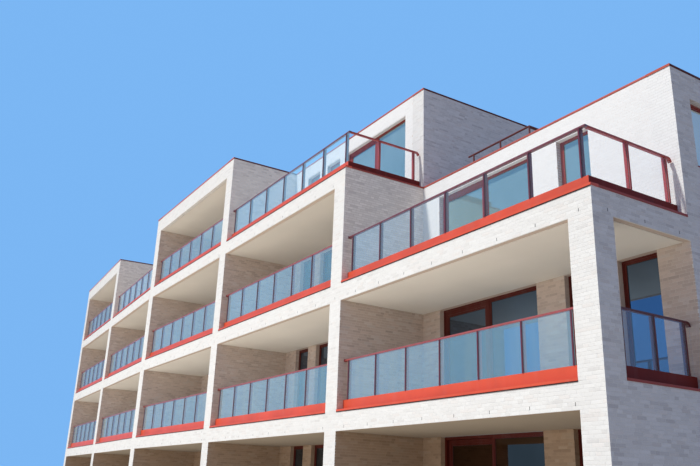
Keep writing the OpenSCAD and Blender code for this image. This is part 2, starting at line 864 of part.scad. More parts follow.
ground_slab();
floor_slab(1);  // floor_slab_1
floor_slab(2);  // floor_slab_2
floor_slab(3);  // floor_slab_3
roof_slabs();
roof_covering();
roof_upstands();
party_walls();
left_end_wall();
right_end_wall();
end_wall_ground();
corner_pier();
penthouse_side_wall();
front_bands();
roof_bands();
end_band();
loggia_ceilings();
inner_wall(0);  // inner_wall_ground
doorway_lintels();
inner_wall(1);  // inner_wall_1
inner_wall(2);  // inner_wall_2
inner_wall(3);  // inner_wall_3
rear_walls();
window_frames();
rear_window_frames();
window_glass();
rear_window_glass();
door_jambs();
door_heads_and_thresholds();
door_fixed_panes();
door_leaf(1);  // door_leaf_1
door_leaf_glass(1);  // door_leaf_1_glass
door_leaf(2);  // door_leaf_2
door_leaf_glass(2);  // door_leaf_2_glass
sills();
side_sills();
fascias();
side_fascias();
balustrade_frames();
side_balustrade_frames();
balustrade_glass();
side_balustrade_glass();
copings_along();
copings_across();
roof_rail();
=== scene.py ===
import json
import math
import bmesh
import bpy
import numpy as np
from mathutils import Matrix, Vector


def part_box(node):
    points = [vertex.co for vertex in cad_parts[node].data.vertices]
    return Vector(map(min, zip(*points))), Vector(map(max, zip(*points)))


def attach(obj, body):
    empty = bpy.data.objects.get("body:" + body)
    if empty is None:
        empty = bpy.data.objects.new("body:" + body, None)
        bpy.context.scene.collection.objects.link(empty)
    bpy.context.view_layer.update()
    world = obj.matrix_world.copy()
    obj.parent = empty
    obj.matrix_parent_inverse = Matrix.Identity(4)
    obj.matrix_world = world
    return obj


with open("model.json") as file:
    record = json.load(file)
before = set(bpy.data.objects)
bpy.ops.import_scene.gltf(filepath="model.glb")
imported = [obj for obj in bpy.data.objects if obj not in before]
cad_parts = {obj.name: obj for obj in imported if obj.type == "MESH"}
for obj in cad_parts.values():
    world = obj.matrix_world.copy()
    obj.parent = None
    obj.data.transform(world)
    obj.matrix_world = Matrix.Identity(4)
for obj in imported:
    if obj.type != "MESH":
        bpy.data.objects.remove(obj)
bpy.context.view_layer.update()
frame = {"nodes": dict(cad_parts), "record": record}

nodes = frame["nodes"]
body = "building"

# The block's own sizes in metres. Its X is 0 at the near end wall and runs to minus along the
# row, its Y is 0 at the front, and bays count from the near end.
block = {
    "bayWidth": 7.5, "wall": 0.5, "depth": 12.0, "bend": math.radians(2.9), "wingX": -23.0,
    "ground": 0.2, "storey": 3.0, "band": 0.43, "roofBand": 0.56, "roofEdge": 0.3, "skyZ": 20,
    "loggia": 2.44, "pier": 0.476, "innerWall": 0.3, "reveal": 0.12, "headHeight": 2.57,
    "loggias": [2, 3, 4, 3, 4], "storeys": [3, 4, 4, 4, 4],
}
bays = range(1, 6)
loggiaY, pier = block["loggia"], block["pier"]
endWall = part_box("end_wall_ground")
corner = Vector((endWall[1].x, endWall[0].y, 0))


def floorZ(level):
    return block["ground"] + level * block["storey"]


def leftX(bay):
    return -bay * block["bayWidth"]


def rightX(bay):
    return leftX(bay - 1) - block["wall"]


def loggias(bay):
    return block["loggias"][bay - 1]


def storeys(bay):
    return block["storeys"][bay - 1]


def roofZ(bay):
    return floorZ(storeys(bay))


def hasLoggiaRoof(bay):
    return loggias(bay) == storeys(bay)


def inWing(bay):
    return bay > 3


# The right end of what meets the straight party wall at the depth y, which cuts the wing at a slant
def slantRight(bay, y):
    return rightX(bay) - (y * math.tan(block["bend"]) if bay == 4 else 0)


# From the block's own plan to the frame; the wing turns back behind the third bay
def place(x, y, turned=False):
    if turned:
        run, c, s = x - block["wingX"], math.cos(block["bend"]), math.sin(block["bend"])
        x, y = block["wingX"] + run * c + y * s, -run * s + y * c
    return x + corner.x, y + corner.y


# Lower and upper edge of what shows of the inner wall and the cheeks on one storey
def openStorey(bay, level):
    if level < loggias(bay):
        last = level == storeys(bay) - 1
        return floorZ(level), floorZ(level + 1) - block["roofBand" if last else "band"]
    return floorZ(level), roofZ(bay)


everyStorey = [(bay, level) for bay in bays for level in range(storeys(bay))]
# The floors with a band and a guard in front
guarded = [(bay, level) for bay, level in everyStorey if 0 < level <= loggias(bay)]


# A node whose inputs are linked or set, by name or number
def nodeIn(tree, kind, values, **settings):
    node = tree.nodes.new(kind)
    for key, value in settings.items():
        setattr(node, key, value)
    for key, value in values.items():
        if isinstance(value, bpy.types.NodeSocket):
            tree.links.new(value, node.inputs[key])
        elif isinstance(value, tuple):
            node.inputs[key].default_value = (*value, 1)
        else:
            node.inputs[key].default_value = value
    return node


def calc(tree, operation, *values):
    return nodeIn(tree, "ShaderNodeMath", dict(enumerate(values)), operation=operation).outputs[0]


def times(tree, a, b):
    return calc(tree, "MULTIPLY", a, b)


def above(tree, value, limit):
    return calc(tree, "GREATER_THAN", value, limit)


def axes(tree, vector):
    return nodeIn(tree, "ShaderNodeSeparateXYZ", {0: vector}).outputs


def normalAxes(tree):
    return axes(tree, nodeIn(tree, "ShaderNodeNewGeometry", {}).outputs["True Normal"])


def remap(tree, value, low, high, toLow=0.0, toHigh=1.0, kind="LINEAR"):
    return nodeIn(tree, "ShaderNodeMapRange", {
        "Value": value, "From Min": low, "From Max": high, "To Min": toLow, "To Max": toHigh,
    }, interpolation_type=kind).outputs["Result"]


def noiseIn(tree, vector, scale, detail, rough=0.5):
    return nodeIn(tree, "ShaderNodeTexNoise", {
        "Vector": vector, "Scale": scale, "Detail": detail, "Roughness": rough}).outputs["Fac"]


# A position whose noise is drawn out downwards
def drawnOut(tree, position, across, down):
    split = axes(tree, position)
    return nodeIn(tree, "ShaderNodeCombineXYZ", {
        "X": times(tree, split["X"], across), "Y": times(tree, split["Y"], across),
        "Z": times(tree, split["Z"], down)}).outputs[0]


# A group that takes a vector and some values, and puts out values
def newGroup(name, inputs, outputs):
    group = bpy.data.node_groups.new(name, "ShaderNodeTree")
    group.interface.new_socket(name="Vector", in_out="INPUT", socket_type="NodeSocketVector")
    for label, value in inputs.items():
        socket = group.interface.new_socket(name=label, in_out="INPUT", socket_type="NodeSocketFloat")
        socket.default_value = value
    for label in outputs:
        group.interface.new_socket(name=label, in_out="OUTPUT", socket_type="NodeSocketFloat")
    start = group.nodes.new("NodeGroupInput")
    end = group.nodes.new("NodeGroupOutput")
    return group, start.outputs, end.inputs


def useGroup(tree, group, vector, values):
    return nodeIn(tree, "ShaderNodeGroup", {"Vector": vector, **values}, node_tree=group).outputs


def ramp(tree, factor, stops):
    node = nodeIn(tree, "ShaderNodeValToRGB", {"Fac": factor})
    points = node.color_ramp.elements
    while len(points) < len(stops):
        points.new(0.5)
    for point, (position, color) in zip(points, stops):
        point.position = position
        point.color = (*color, 1)
    return node.outputs["Color"]


def mixColor(tree, factor, a, b, blend="MIX"):
    values = {0: factor, 6: a, 7: b}
    return nodeIn(tree, "ShaderNodeMix", values, data_type="RGBA", blend_type=blend).outputs[2]


def scaled(color, share):
    return tuple(c * share for c in color)


def tinted(color, tint):
    return tuple(c * w for c, w in zip(color, tint))


# A colour and a relief for a material's shader
def dress(tree, shader, color, height, strength, distance):
    tree.links.new(color, shader.inputs["Base Color"])
    bump = nodeIn(tree, "ShaderNodeBump", {"Strength": strength, "Distance": distance, "Height": height})
    tree.links.new(bump.outputs[0], shader.inputs["Normal"])


def newMaterial(name, shaderValues):
    material = bpy.data.materials.new(name)
    material.use_nodes = True
    tree = material.node_tree
    shader = tree.nodes["Principled BSDF"]
    for key, value in shaderValues.items():
        shader.inputs[key].default_value = value
    position = tree.nodes.new("ShaderNodeTexCoord").outputs["Object"]
    return material, tree, shader, position


# The bond: courses of stretchers, with one in five cut into two headers
bond = {"course": 0.06, "length": 0.22, "joint": 0.010, "firstCourse": 0.01, "shift": 0.382,
        "cutShare": 0.2, "cutAlong": 0.618, "cutUp": 0.271, "edgeBlur": 0.002}


def brickBondGroup():
    sizes = {"Course": bond["course"], "Length": bond["length"], "Joint": bond["joint"]}
    tree, given, out = newGroup("brickBond", sizes, ["Brick", "Tone", "Accent"])
    split = axes(tree, given["Vector"])
    along = calc(tree, "ADD", split["X"], split["Y"])
    up = calc(tree, "SUBTRACT", split["Z"], bond["firstCourse"])
    rows = calc(tree, "DIVIDE", up, given["Course"])
    row = calc(tree, "FLOOR", rows)
    inRow = calc(tree, "FRACT", rows)
    shift = calc(tree, "FRACT", times(tree, row, bond["shift"]))
    bricks = calc(tree, "ADD", calc(tree, "DIVIDE", along, given["Length"]), shift)
    number = calc(tree, "FLOOR", bricks)
    inBrick = calc(tree, "FRACT", bricks)
    chance = calc(tree, "ADD", times(tree, number, bond["cutAlong"]), times(tree, row, bond["cutUp"]))
    cut = calc(tree, "LESS_THAN", calc(tree, "FRACT", chance), bond["cutShare"])
    pieces = calc(tree, "ADD", cut, 1.0)
    inPieces = times(tree, inBrick, pieces)
    number = calc(tree, "ADD", number, times(tree, calc(tree, "FLOOR", inPieces), 0.5))
    inBrick = calc(tree, "FRACT", inPieces)
    width = calc(tree, "DIVIDE", given["Length"], pieces)
    edges = [times(tree, size, calc(tree, "MINIMUM", share, calc(tree, "SUBTRACT", 1.0, share)))
             for size, share in ((width, inBrick), (given["Course"], inRow))]
    edge = calc(tree, "MINIMUM", *edges)
    half = times(tree, given["Joint"], 0.5)
    mask = remap(tree, edge, calc(tree, "SUBTRACT", half, bond["edgeBlur"]), half, kind="SMOOTHSTEP")
    seed = nodeIn(tree, "ShaderNodeCombineXYZ", {"X": number, "Y": row, "Z": 0.37})
    noise = nodeIn(tree, "ShaderNodeTexWhiteNoise", {"Vector": seed.outputs[0]}, noise_dimensions="3D")
    accent = nodeIn(tree, "ShaderNodeSeparateColor", {"Color": noise.outputs["Color"]})
    tree.links.new(mask, out["Brick"])
    tree.links.new(noise.outputs["Value"], out["Tone"])
    tree.links.new(accent.outputs["Green"], out["Accent"])
    return tree


# Broad and fine mottling, as two values round 0.5
def mottleGroup():
    tree, given, out = newGroup("mottle", {"Broad Scale": 0.6, "Fine Scale": 40.0}, ["Broad", "Fine"])
    for label, detail, rough in (("Broad", 3.0, 0.55), ("Fine", 4.0, 0.6)):
        noise = noiseIn(tree, given["Vector"], given[label + " Scale"], detail, rough)
        tree.links.new(noise, out[label])
    return tree


# Rain marks: noise drawn out downwards, strongest in thin streaks
def rainGroup():
    tree, given, out = newGroup("rainMarks", {"Width Scale": 3.0, "Amount": 0.5}, ["Mask"])
    noise = noiseIn(tree, drawnOut(tree, given["Vector"], given["Width Scale"], 0.35), 1.0, 4.0, 0.65)
    tree.links.new(times(tree, remap(tree, noise, 0.5, 0.75), given["Amount"]), out["Mask"])
    return tree


# Dust that settles on what faces up
def dustGroup():
    tree, given, out = newGroup("settledDust", {"Amount": 0.5}, ["Mask"])
    facing = remap(tree, normalAxes(tree)["Z"], 0.5, 0.95)
    patchy = times(tree, facing, noiseIn(tree, given["Vector"], 2.5, 4.0))
    tree.links.new(times(tree, patchy, given["Amount"]), out["Mask"])
    return tree


# The terraces of the two near bays and all over them, where paints and mortar take a second colour: painted
# sunlight for window frames, side rails and the loggias' mortar, painted shade for the front handrails
def terraceGroup():
    tree, given, out = newGroup("overTerraces", {}, ["Mask"])
    split = axes(tree, given["Vector"])
    over = [times(tree, above(tree, split["X"], corner.x + leftX(bay)),
                  above(tree, split["Z"], floorZ(loggias(bay)))) for bay in (1, 2)]
    tree.links.new(calc(tree, "MAXIMUM", *over), out["Mask"])
    return tree


maskRoom = {"front": 0.02, "back": 0.03}


# 1 between the front plane and the inner walls, where the joints take the loggias' painted shade, as warm as
# the bricks
def loggiaGroup():
    tree, given, out = newGroup("insideLoggias", {}, ["Mask"])
    split = axes(tree, given["Vector"])
    beyond = calc(tree, "MAXIMUM", calc(tree, "SUBTRACT", corner.x + block["wingX"], split["X"]), 0.0)
    back = times(tree, beyond, math.tan(block["bend"]))
    deep = calc(tree, "SUBTRACT", calc(tree, "SUBTRACT", split["Y"], corner.y), back)
    farEnd = place(leftX(5) - block["wall"] / 2, 0, True)[0]
    inDepth = times(tree, above(tree, deep, maskRoom["front"]),
                    calc(tree, "LESS_THAN", deep, loggiaY + maskRoom["back"]))
    inLength = times(tree, calc(tree, "LESS_THAN", split["X"], corner.x - maskRoom["front"]),
                     above(tree, split["X"], farEnd))
    tree.links.new(times(tree, inDepth, inLength), out["Mask"])
    return tree


brickBond = brickBondGroup()
mottle = mottleGroup()
rainMarks = rainGroup()
settledDust = dustGroup()
overTerraces = terraceGroup()
insideLoggias = loggiaGroup()


def mottling(tree, position, broad, fine):
    return useGroup(tree, mottle, position, {"Broad Scale": broad, "Fine Scale": fine})


def maskOf(tree, group, position):
    return useGroup(tree, group, position, {})["Mask"]


brickLook = {
    "tones": [(0.0, (0.665, 0.658, 0.635)), (0.05, (0.71, 0.705, 0.68)), (0.18, (0.735, 0.732, 0.708)),
              (0.7, (0.757, 0.756, 0.732)), (1.0, (0.778, 0.778, 0.755))],
    # Darker tones with a wider spread, painted shade for faces that lie in shade
    "shadeSideTones": [(0.0, (0.585, 0.57, 0.56)), (0.1, (0.645, 0.635, 0.62)), (0.35, (0.695, 0.688, 0.672)),
                   (0.75, (0.735, 0.73, 0.716)), (1.0, (0.78, 0.776, 0.764))],
    # Lighter tones, painted light for the penthouse fronts, which the lamps light less than the lower bands
    "paintedLightTones": [(0.0, (0.82, 0.822, 0.802)), (0.2, (0.838, 0.842, 0.822)), (1.0, (0.855, 0.86, 0.84))],
    "mortar": (0.795, 0.795, 0.772), "accent": (0.75, 0.70, 0.655), "rain": (0.50, 0.485, 0.46),
    # The terrace tint is painted bounce light, lighter and warmer, for the cheeks over the terraces; the
    # sunny mortar is the mortar in painted sunlight over the terraces; the tint for the porches is painted
    # shade
    "terrace": (1.16, 1.08, 1.0), "sunnyMortar": (0.90, 0.905, 0.885), "porch": (0.72, 0.62, 0.50),
    # The loggias' tints are painted shade: a darker, warmer copy of the pale brick and its mortar for faces
    # in the loggias' shade and warm bounce light
    "plain": (1.0, 1.0, 1.0), "loggia": (0.87, 0.72, 0.63), "loggiaMortar": (0.84, 0.705, 0.62),
    "accentFrom": 0.86, "grain": 0.0008,
}


# The ground floor's porches, whose brick and ceilings take painted shade, duller than those of the loggias
def inPorch(tree, position):
    return calc(tree, "LESS_THAN", axes(tree, position)["Z"], floorZ(1))


def overFirstFloor(tree, position):
    return above(tree, axes(tree, position)["Z"], floorZ(2))


# The tints paint light and shade onto the brick: the loggias' tint is painted shade, darker and warmer, and
# the terraces' tint is painted bounce light, lighter and warmer
def brickMaterial(name, lightTint, mortarLightTint, jointDepth, mix="tones", rainShare=0.09, pinkShare=0.35):
    material, tree, shader, position = newMaterial(name, {"Roughness": 0.85, "Specular IOR Level": 0.3})
    wall = useGroup(tree, brickBond, position, {})
    soft = mottling(tree, position, 0.45, 55.0)
    tones = [(at, tinted(color, lightTint)) for at, color in brickLook[mix]]
    color = ramp(tree, wall["Tone"], tones)
    pink = times(tree, above(tree, wall["Accent"], brickLook["accentFrom"]), pinkShare)
    color = mixColor(tree, pink, color, brickLook["accent"])
    mortar = tinted(brickLook["mortar"], mortarLightTint)
    sunny = maskOf(tree, overTerraces, position)
    porchShare = inPorch(tree, position)
    # Inside the loggias, away from the terraces, the pale brick's mortar takes the loggias' painted shade
    if mortarLightTint == plain:
        within = maskOf(tree, insideLoggias, position)
        shaded = times(tree, within, calc(tree, "SUBTRACT", 1.0, sunny))
        mortar = mixColor(tree, shaded, mortar, tinted(brickLook["mortar"], brickLook["loggiaMortar"]))
        porchShare = times(tree, within, porchShare)
    else:
        # Over the terraces this mortar takes its painted sunlit colour
        mortar = mixColor(tree, sunny, mortar, brickLook["sunnyMortar"])
    color = mixColor(tree, wall["Brick"], mortar, color)
    # Painted shade in the ground-floor porches
    color = mixColor(tree, porchShare, color, brickLook["porch"], "MULTIPLY")
    shade = ramp(tree, soft["Fine"], [(0.3, (0.95, 0.95, 0.95)), (0.7, (1.03, 1.03, 1.03))])
    color = mixColor(tree, 1.0, color, shade, "MULTIPLY")
    rain = useGroup(tree, rainMarks, position, {"Width Scale": 1.6, "Amount": rainShare})
    color = mixColor(tree, rain["Mask"], color, brickLook["rain"])
    joints = times(tree, wall["Brick"], jointDepth)
    height = calc(tree, "ADD", joints, times(tree, soft["Fine"], brickLook["grain"]))
    dress(tree, shader, color, height, 1.0, 1.0)
    return material


# A painted metal or a metal with a coating: even, with faint mottling, rain marks and dust on top. Its colour
# over the terraces and its colour on faces turned to the front are painted light and shade
def paintMaterial(name, color, roughness, dust=0.35, coat=0.0, gloss=0.5, paintedTerraceLight=None, front=None):
    material, tree, shader, position = newMaterial(name, {
        "Coat Weight": coat, "Coat Roughness": 0.15, "Specular IOR Level": gloss})
    soft = mottling(tree, position, 1.4, 160.0)
    high = tuple(min(1, c * 1.08) for c in color)
    paint = ramp(tree, soft["Broad"], [(0.3, scaled(color, 0.88)), (0.7, high)])
    # Over the terraces the paint turns to a second colour: painted sunlight on frames and side rails, painted
    # shade on the front handrails
    if paintedTerraceLight:
        paint = mixColor(tree, maskOf(tree, overTerraces, position), paint, paintedTerraceLight)
    # Faces turned to the front take a painted sunlit copy of the paint
    if front:
        paint = mixColor(tree, calc(tree, "LESS_THAN", normalAxes(tree)["Y"], -0.7), paint, front)
    rain = useGroup(tree, rainMarks, position, {"Width Scale": 4.0, "Amount": 0.12})
    paint = mixColor(tree, rain["Mask"], paint, tuple(0.5 * c + 0.22 for c in color))
    layer = useGroup(tree, settledDust, position, {"Amount": dust})
    paint = mixColor(tree, layer["Mask"], paint, (0.52, 0.49, 0.45))
    rough = remap(tree, soft["Fine"], 0.0, 1.0, roughness - 0.07, roughness + 0.09)
    tree.links.new(rough, shader.inputs["Roughness"])
    dress(tree, shader, paint, soft["Fine"], 0.12, 0.0006)
    return material


# Render, concrete and felt: mottled, with a fine grain or with pores
mineralLooks = {
    "plaster": {"roughness": 0.9, "gloss": 0.25, "scales": (0.5, 220.0), "broad": (0.3, 0.7), "dark": 0.93,
                "grain": [(0.35, 0.95), (0.65, 1.0)], "bump": (0.35, 0.0015)},
    "concrete": {"roughness": 0.82, "gloss": 0.35, "scales": (0.8, 70.0), "broad": (0.25, 0.75), "dark": 0.82,
                 "bump": (0.4, 0.002)},
    "felt": {"roughness": 0.95, "gloss": 0.2, "scales": (0.35, 300.0), "broad": (0.3, 0.7), "dark": 0.75,
             "grain": [(0.4, 0.8), (0.62, 1.2)], "bump": (0.6, 0.002)},
}


def mineralMaterial(name, kind, color, porch=None, upper=None):
    look = mineralLooks[kind]
    material, tree, shader, position = newMaterial(name, {
        "Roughness": look["roughness"], "Specular IOR Level": look["gloss"]})
    soft = mottling(tree, position, *look["scales"])
    paint = ramp(tree, soft["Broad"], list(zip(look["broad"], (scaled(color, look["dark"]), color))))
    height = soft["Fine"]
    if "grain" in look:
        grain = ramp(tree, height, [(at, (share, share, share)) for at, share in look["grain"]])
        paint = mixColor(tree, 1.0, paint, grain, "MULTIPLY")
    else:
        pores = nodeIn(tree, "ShaderNodeTexVoronoi", {"Vector": position, "Scale": 38.0})
        solid = remap(tree, pores.outputs["Distance"], 0.06, 0.14)
        paint = mixColor(tree, solid, scaled(color, 0.6), paint)
        height = calc(tree, "ADD", height, times(tree, solid, 0.5))
    # Painted shade: darker in the porches, and a little darker over the first floor
    if porch:
        paint = mixColor(tree, inPorch(tree, position), paint, porch, "MULTIPLY")
        paint = mixColor(tree, overFirstFloor(tree, position), paint, upper, "MULTIPLY")
    dress(tree, shader, paint, height, *look["bump"])
    return material


# Coated glass: faint upright streaks in its tint, and a mirror part over a see-through one. A guard
# closes from the alpha seen square on to the one seen along the pane, and is clearer and bluer over
# the first floor.
def glassMaterial(name, mirror, roughness, deep, pale, guardLook=None):
    material, tree, shader, position = newMaterial(name, {
        "Metallic": mirror, "Roughness": roughness, "IOR": 1.5})
    drawn = drawnOut(tree, position, 5.0 if guardLook else 0.6, 0.4)
    tint = ramp(tree, noiseIn(tree, drawn, 1.0, 3.0), [(0.35, deep), (0.65, pale)])
    if guardLook:
        slant = nodeIn(tree, "ShaderNodeLayerWeight", {"Blend": 0.5}).outputs["Facing"]
        low = remap(tree, slant, 0.25, 0.67, *guardLook["alphas"])
        high = remap(tree, slant, 0.36, 0.59, *guardLook["highAlphas"])
        isHigh = overFirstFloor(tree, position)
        more = times(tree, isHigh, calc(tree, "SUBTRACT", high, low))
        tree.links.new(calc(tree, "ADD", low, more), shader.inputs["Alpha"])
        tint = mixColor(tree, isHigh, tint, guardLook["highTint"])
    dress(tree, shader, tint, mottling(tree, position, 0.9, 30.0)["Broad"], 0.03, 0.01)
    return material


plain, loggia, loggiaMortar = brickLook["plain"], brickLook["loggia"], brickLook["loggiaMortar"]
looks = {
    "brick": brickMaterial("paleBrickwork", plain, plain, 0.002),
    # The loggias' brickwork: the pale brick darker and warmer, as painted shade
    "inner_brick": brickMaterial("loggiaBrickwork", loggia, loggiaMortar, 0.002),
    "concrete": mineralMaterial("concrete", "concrete", (0.56, 0.55, 0.52)),
    # Ceiling plaster, darkened in the porches and over the first floor as painted shade
    "plaster": mineralMaterial("ceilingPlaster", "plaster", (0.95, 0.92, 0.845),
                               porch=(0.56, 0.48, 0.40), upper=(0.84, 0.83, 0.82)),
    "roof_felt": mineralMaterial("roofFelt", "felt", (0.23, 0.235, 0.24)),
    # Window paint: the base colour is a painted shaded copy and the lighter colour over the terraces a
    # painted sunlit copy of one paint; the doors take the shaded copy
    "window_frame": paintMaterial("windowPaint", (0.10, 0.013, 0.008), 0.36, dust=0.1, gloss=0.3,
                                  paintedTerraceLight=(0.30, 0.052, 0.042)),
    "door_leaf": paintMaterial("doorPaint", (0.10, 0.014, 0.009), 0.36, dust=0.1, gloss=0.3),
    "window_glass": glassMaterial("windowGlass", 1.0, 0.02, (0.12, 0.17, 0.245), (0.14, 0.21, 0.315)),
    "guard_glass": glassMaterial("guardGlass", 0.3, 0.03, (0.42, 0.79, 1.0), (0.54, 0.88, 1.0), {
        "alphas": (0.18, 0.25), "highAlphas": (0.02, 0.25), "highTint": (0.42, 0.80, 1.0)}),
    "fascia": paintMaterial("fasciaPaint", (0.66, 0.082, 0.03), 0.42, dust=0.2),
    # Rail paint: the darker colour over the terraces is a painted shaded copy, for rails seen from below in
    # shade
    "handrail": paintMaterial("railPaint", (0.34, 0.072, 0.066), 0.3, dust=0.15, coat=0.1,
                              paintedTerraceLight=(0.17, 0.042, 0.048)),
    "coping": paintMaterial("copingPaint", (0.52, 0.112, 0.078), 0.42, dust=0.3),
}
finishes = {
    "brickSlips": brickMaterial("paleBrickSlips", plain, plain, 0.0),
    # Cheeks over the terraces: lighter, warmer slips as painted bounce light from the sunlit floors
    "bounceLitSlips": brickMaterial("bounceLitSlips", brickLook["terrace"], plain, 0.0, "shadeSideTones", 0.05, 0.2),
    # Walls in shade: darker, more varied slips as painted shade
    "shadeSideSlips": brickMaterial("shadeSideBrickSlips", plain, plain, 0.0, "shadeSideTones"),
    # The loggias' slips: painted shade, with darker tones and the loggias' tint
    "loggiaSlips": brickMaterial("loggiaBrickSlips", loggia, loggiaMortar, 0.0, "shadeSideTones"),
    # Penthouse fronts: lighter slips as painted light
    "paintedLightSlips": brickMaterial("paintedLightBrickSlips", plain, plain, 0.0, "paintedLightTones", 0.03, 0.1),
    "sideGuardGlass": glassMaterial("sideGuardGlass", 0.85, 0.03, (0.80, 0.90, 0.98), (0.90, 0.95, 1.0), {
        "alphas": (0.08, 0.11), "highAlphas": (0.02, 0.05), "highTint": (0.40, 0.80, 0.96)}),
    # Clamp paint is a darker copy of the rail paint: painted shade for the posts' shaded sides
    "clampPaint": paintMaterial("clampPaint", (0.125, 0.03, 0.05), 0.4, dust=0.05, gloss=0.2),
    # Side rail paint: a painted shaded copy of the rail paint, with a painted sunlit copy over the terraces
    "sideRailPaint": paintMaterial("sideRailPaint", (0.12, 0.025, 0.022), 0.4, dust=0.1, gloss=0.3,
                                   paintedTerraceLight=(0.42, 0.072, 0.06)),
    "roofRailPaint": paintMaterial("roofRailPaint", (0.15, 0.036, 0.028), 0.4, dust=0.1, gloss=0.3),
    "tile": mineralMaterial("terraceTile", "concrete", (0.74, 0.70, 0.635)),
    # The side fascias, side sills and side copings take darker copies of the front paints as painted shade;
    # the side copings keep a painted sunlit copy on faces turned to the front
    "darkFascia": paintMaterial("sideFasciaShadePaint", (0.19, 0.024, 0.018), 0.5, dust=0.1, gloss=0.08),
    "sideSill": paintMaterial("sideSillShadePaint", (0.36, 0.06, 0.04), 0.4, dust=0.2, gloss=0.2),
    "darkCoping": paintMaterial("sideCopingShadePaint", (0.13, 0.032, 0.03), 0.5, dust=0.1, gloss=0.1,
                                front=(0.50, 0.108, 0.075)),
    "doorGlass": glassMaterial("doorGlass", 1.0, 0.02, (0.105, 0.07, 0.05), (0.14, 0.09, 0.065)),
    # Pale sheets over the end wall's top panes: a painted reflection of the bright sky
    "skyReflectionGlass": glassMaterial("paintedSkyReflectionGlass", 0.35, 0.04, (0.74, 0.76, 0.69), (0.84, 0.85, 0.77)),
    "coatedGlass": glassMaterial("coatedGlass", 0.5, 0.04, (0.28, 0.42, 0.43), (0.35, 0.50, 0.51)),
    "liningWhite": mineralMaterial("headLining", "plaster", (0.93, 0.92, 0.90)),
    # A dark strip under the front sills: painted shadow under the sills' lips
    "bead": paintMaterial("sillShadow", (0.035, 0.012, 0.01), 0.6, dust=0.05, gloss=0.2),
    "rubber": paintMaterial("glazingRubber", (0.022, 0.021, 0.021), 0.6, dust=0.1, gloss=0.3),
    "glassEdge": paintMaterial("paneEdge", (0.34, 0.50, 0.56), 0.2, dust=0.05),
    "ventDark": paintMaterial("ventPlastic", (0.035, 0.032, 0.03), 0.6, dust=0.05, gloss=0.3),
    "steel": paintMaterial("boltSteel", (0.50, 0.49, 0.47), 0.35, dust=0.15),
    "feltSeam": paintMaterial("feltSeam", (0.11, 0.112, 0.115), 0.8, dust=0.2, gloss=0.2),
}
# Nodes that look unlike the rest of their slot
finishOf = {
    "side_fascias": "darkFascia", "side_sills": "sideSill", "copings_across": "darkCoping",
    "side_balustrade_glass": "sideGuardGlass", "side_balustrade_frames": "sideRailPaint",
    "roof_rail": "roofRailPaint", "door_fixed_panes": "doorGlass", "door_leaf_1_glass": "doorGlass",
    "door_leaf_2_glass": "doorGlass",
}
slotOf = {part["node"]: part["material_slot"] for part in frame["record"]["subparts"]}
for name, node in nodes.items():
    node.data.materials.clear()
    node.data.materials.append(finishes[finishOf[name]] if name in finishOf else looks[slotOf[name]])
print("materials set on", len(nodes), "nodes")


def addObject(name, data):
    item = bpy.data.objects.new(name, data)
    bpy.context.scene.collection.objects.link(item)
    return item


def finishPiece(name, mesh, lookName, rides=body, finish=None):
    mesh.materials.append(finishes[finish] if finish else looks[lookName])
    piece = addObject(name, mesh)
    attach(piece, rides)


# Many small blocks as one mesh: each row is x0, x1, y0, y1, z0, z1 and 1 where it is in the wing
def joinedBlocks(name, rows, lookName, rides=body, finish=None):
    data = np.array(rows, dtype=np.float64)
    pick = np.array([[0, 2, 4], [1, 2, 4], [1, 3, 4], [0, 3, 4], [0, 2, 5], [1, 2, 5], [1, 3, 5], [0, 3, 5]])
    points = data[:, pick]
    turned = data[:, 6:7] > 0.5
    inRow, inTurn = (place(points[:, :, 0], points[:, :, 1], wing) for wing in (False, True))
    x, y = (np.where(turned, inTurn[n], inRow[n]) for n in (0, 1))
    spots = np.stack([x, y, points[:, :, 2]], axis=2).reshape(-1, 3)
    quads = np.array([[0, 3, 2, 1], [4, 5, 6, 7], [0, 1, 5, 4], [1, 2, 6, 5], [2, 3, 7, 6], [3, 0, 4, 7]])
    faces = (quads[None] + 8 * np.arange(len(data))[:, None, None]).reshape(-1, 4)
    mesh = bpy.data.meshes.new(name)
    mesh.vertices.add(len(spots))
    mesh.vertices.foreach_set("co", spots.ravel())
    mesh.loops.add(faces.size)
    mesh.loops.foreach_set("vertex_index", faces.ravel())
    mesh.polygons.add(len(faces))
    mesh.polygons.foreach_set("loop_start", np.arange(0, faces.size, 4))
    mesh.update(calc_edges=True)
    mesh.shade_flat()
    finishPiece(name, mesh, lookName, rides, finish)


# Brick slips on the faces that show, on the same grid as the bond's pattern
slips = {"proud": 0.0020, "spread": 0.0004, "bite": 0.001, "least": 0.02, "cornerSnap": 0.012,
         "loggiaRelief": 0.3, "penthouseRelief": 0.35}
roughness = np.random.default_rng(7)


# A wall face: "front" and "back" run along X, "right" and "left" along Y
def wallFace(side, plane, start, end, low, high, turned=False, holes=(), corners=(False, False)):
    return side, plane, start, end, low, high, turned, holes, corners


def without(rects, hole):
    left, right, low, high = hole
    kept = []
    for a, b, c, d in rects:
        if b <= left or a >= right or d <= low or c >= high:
            kept.append((a, b, c, d))
            continue
        if c < low:
            kept.append((a, b, c, low))
        if d > high:
            kept.append((a, b, high, d))
        c, d = max(c, low), min(d, high)
        if a < left:
            kept.append((a, left, c, d))
        if b > right:
            kept.append((right, b, c, d))
    return kept


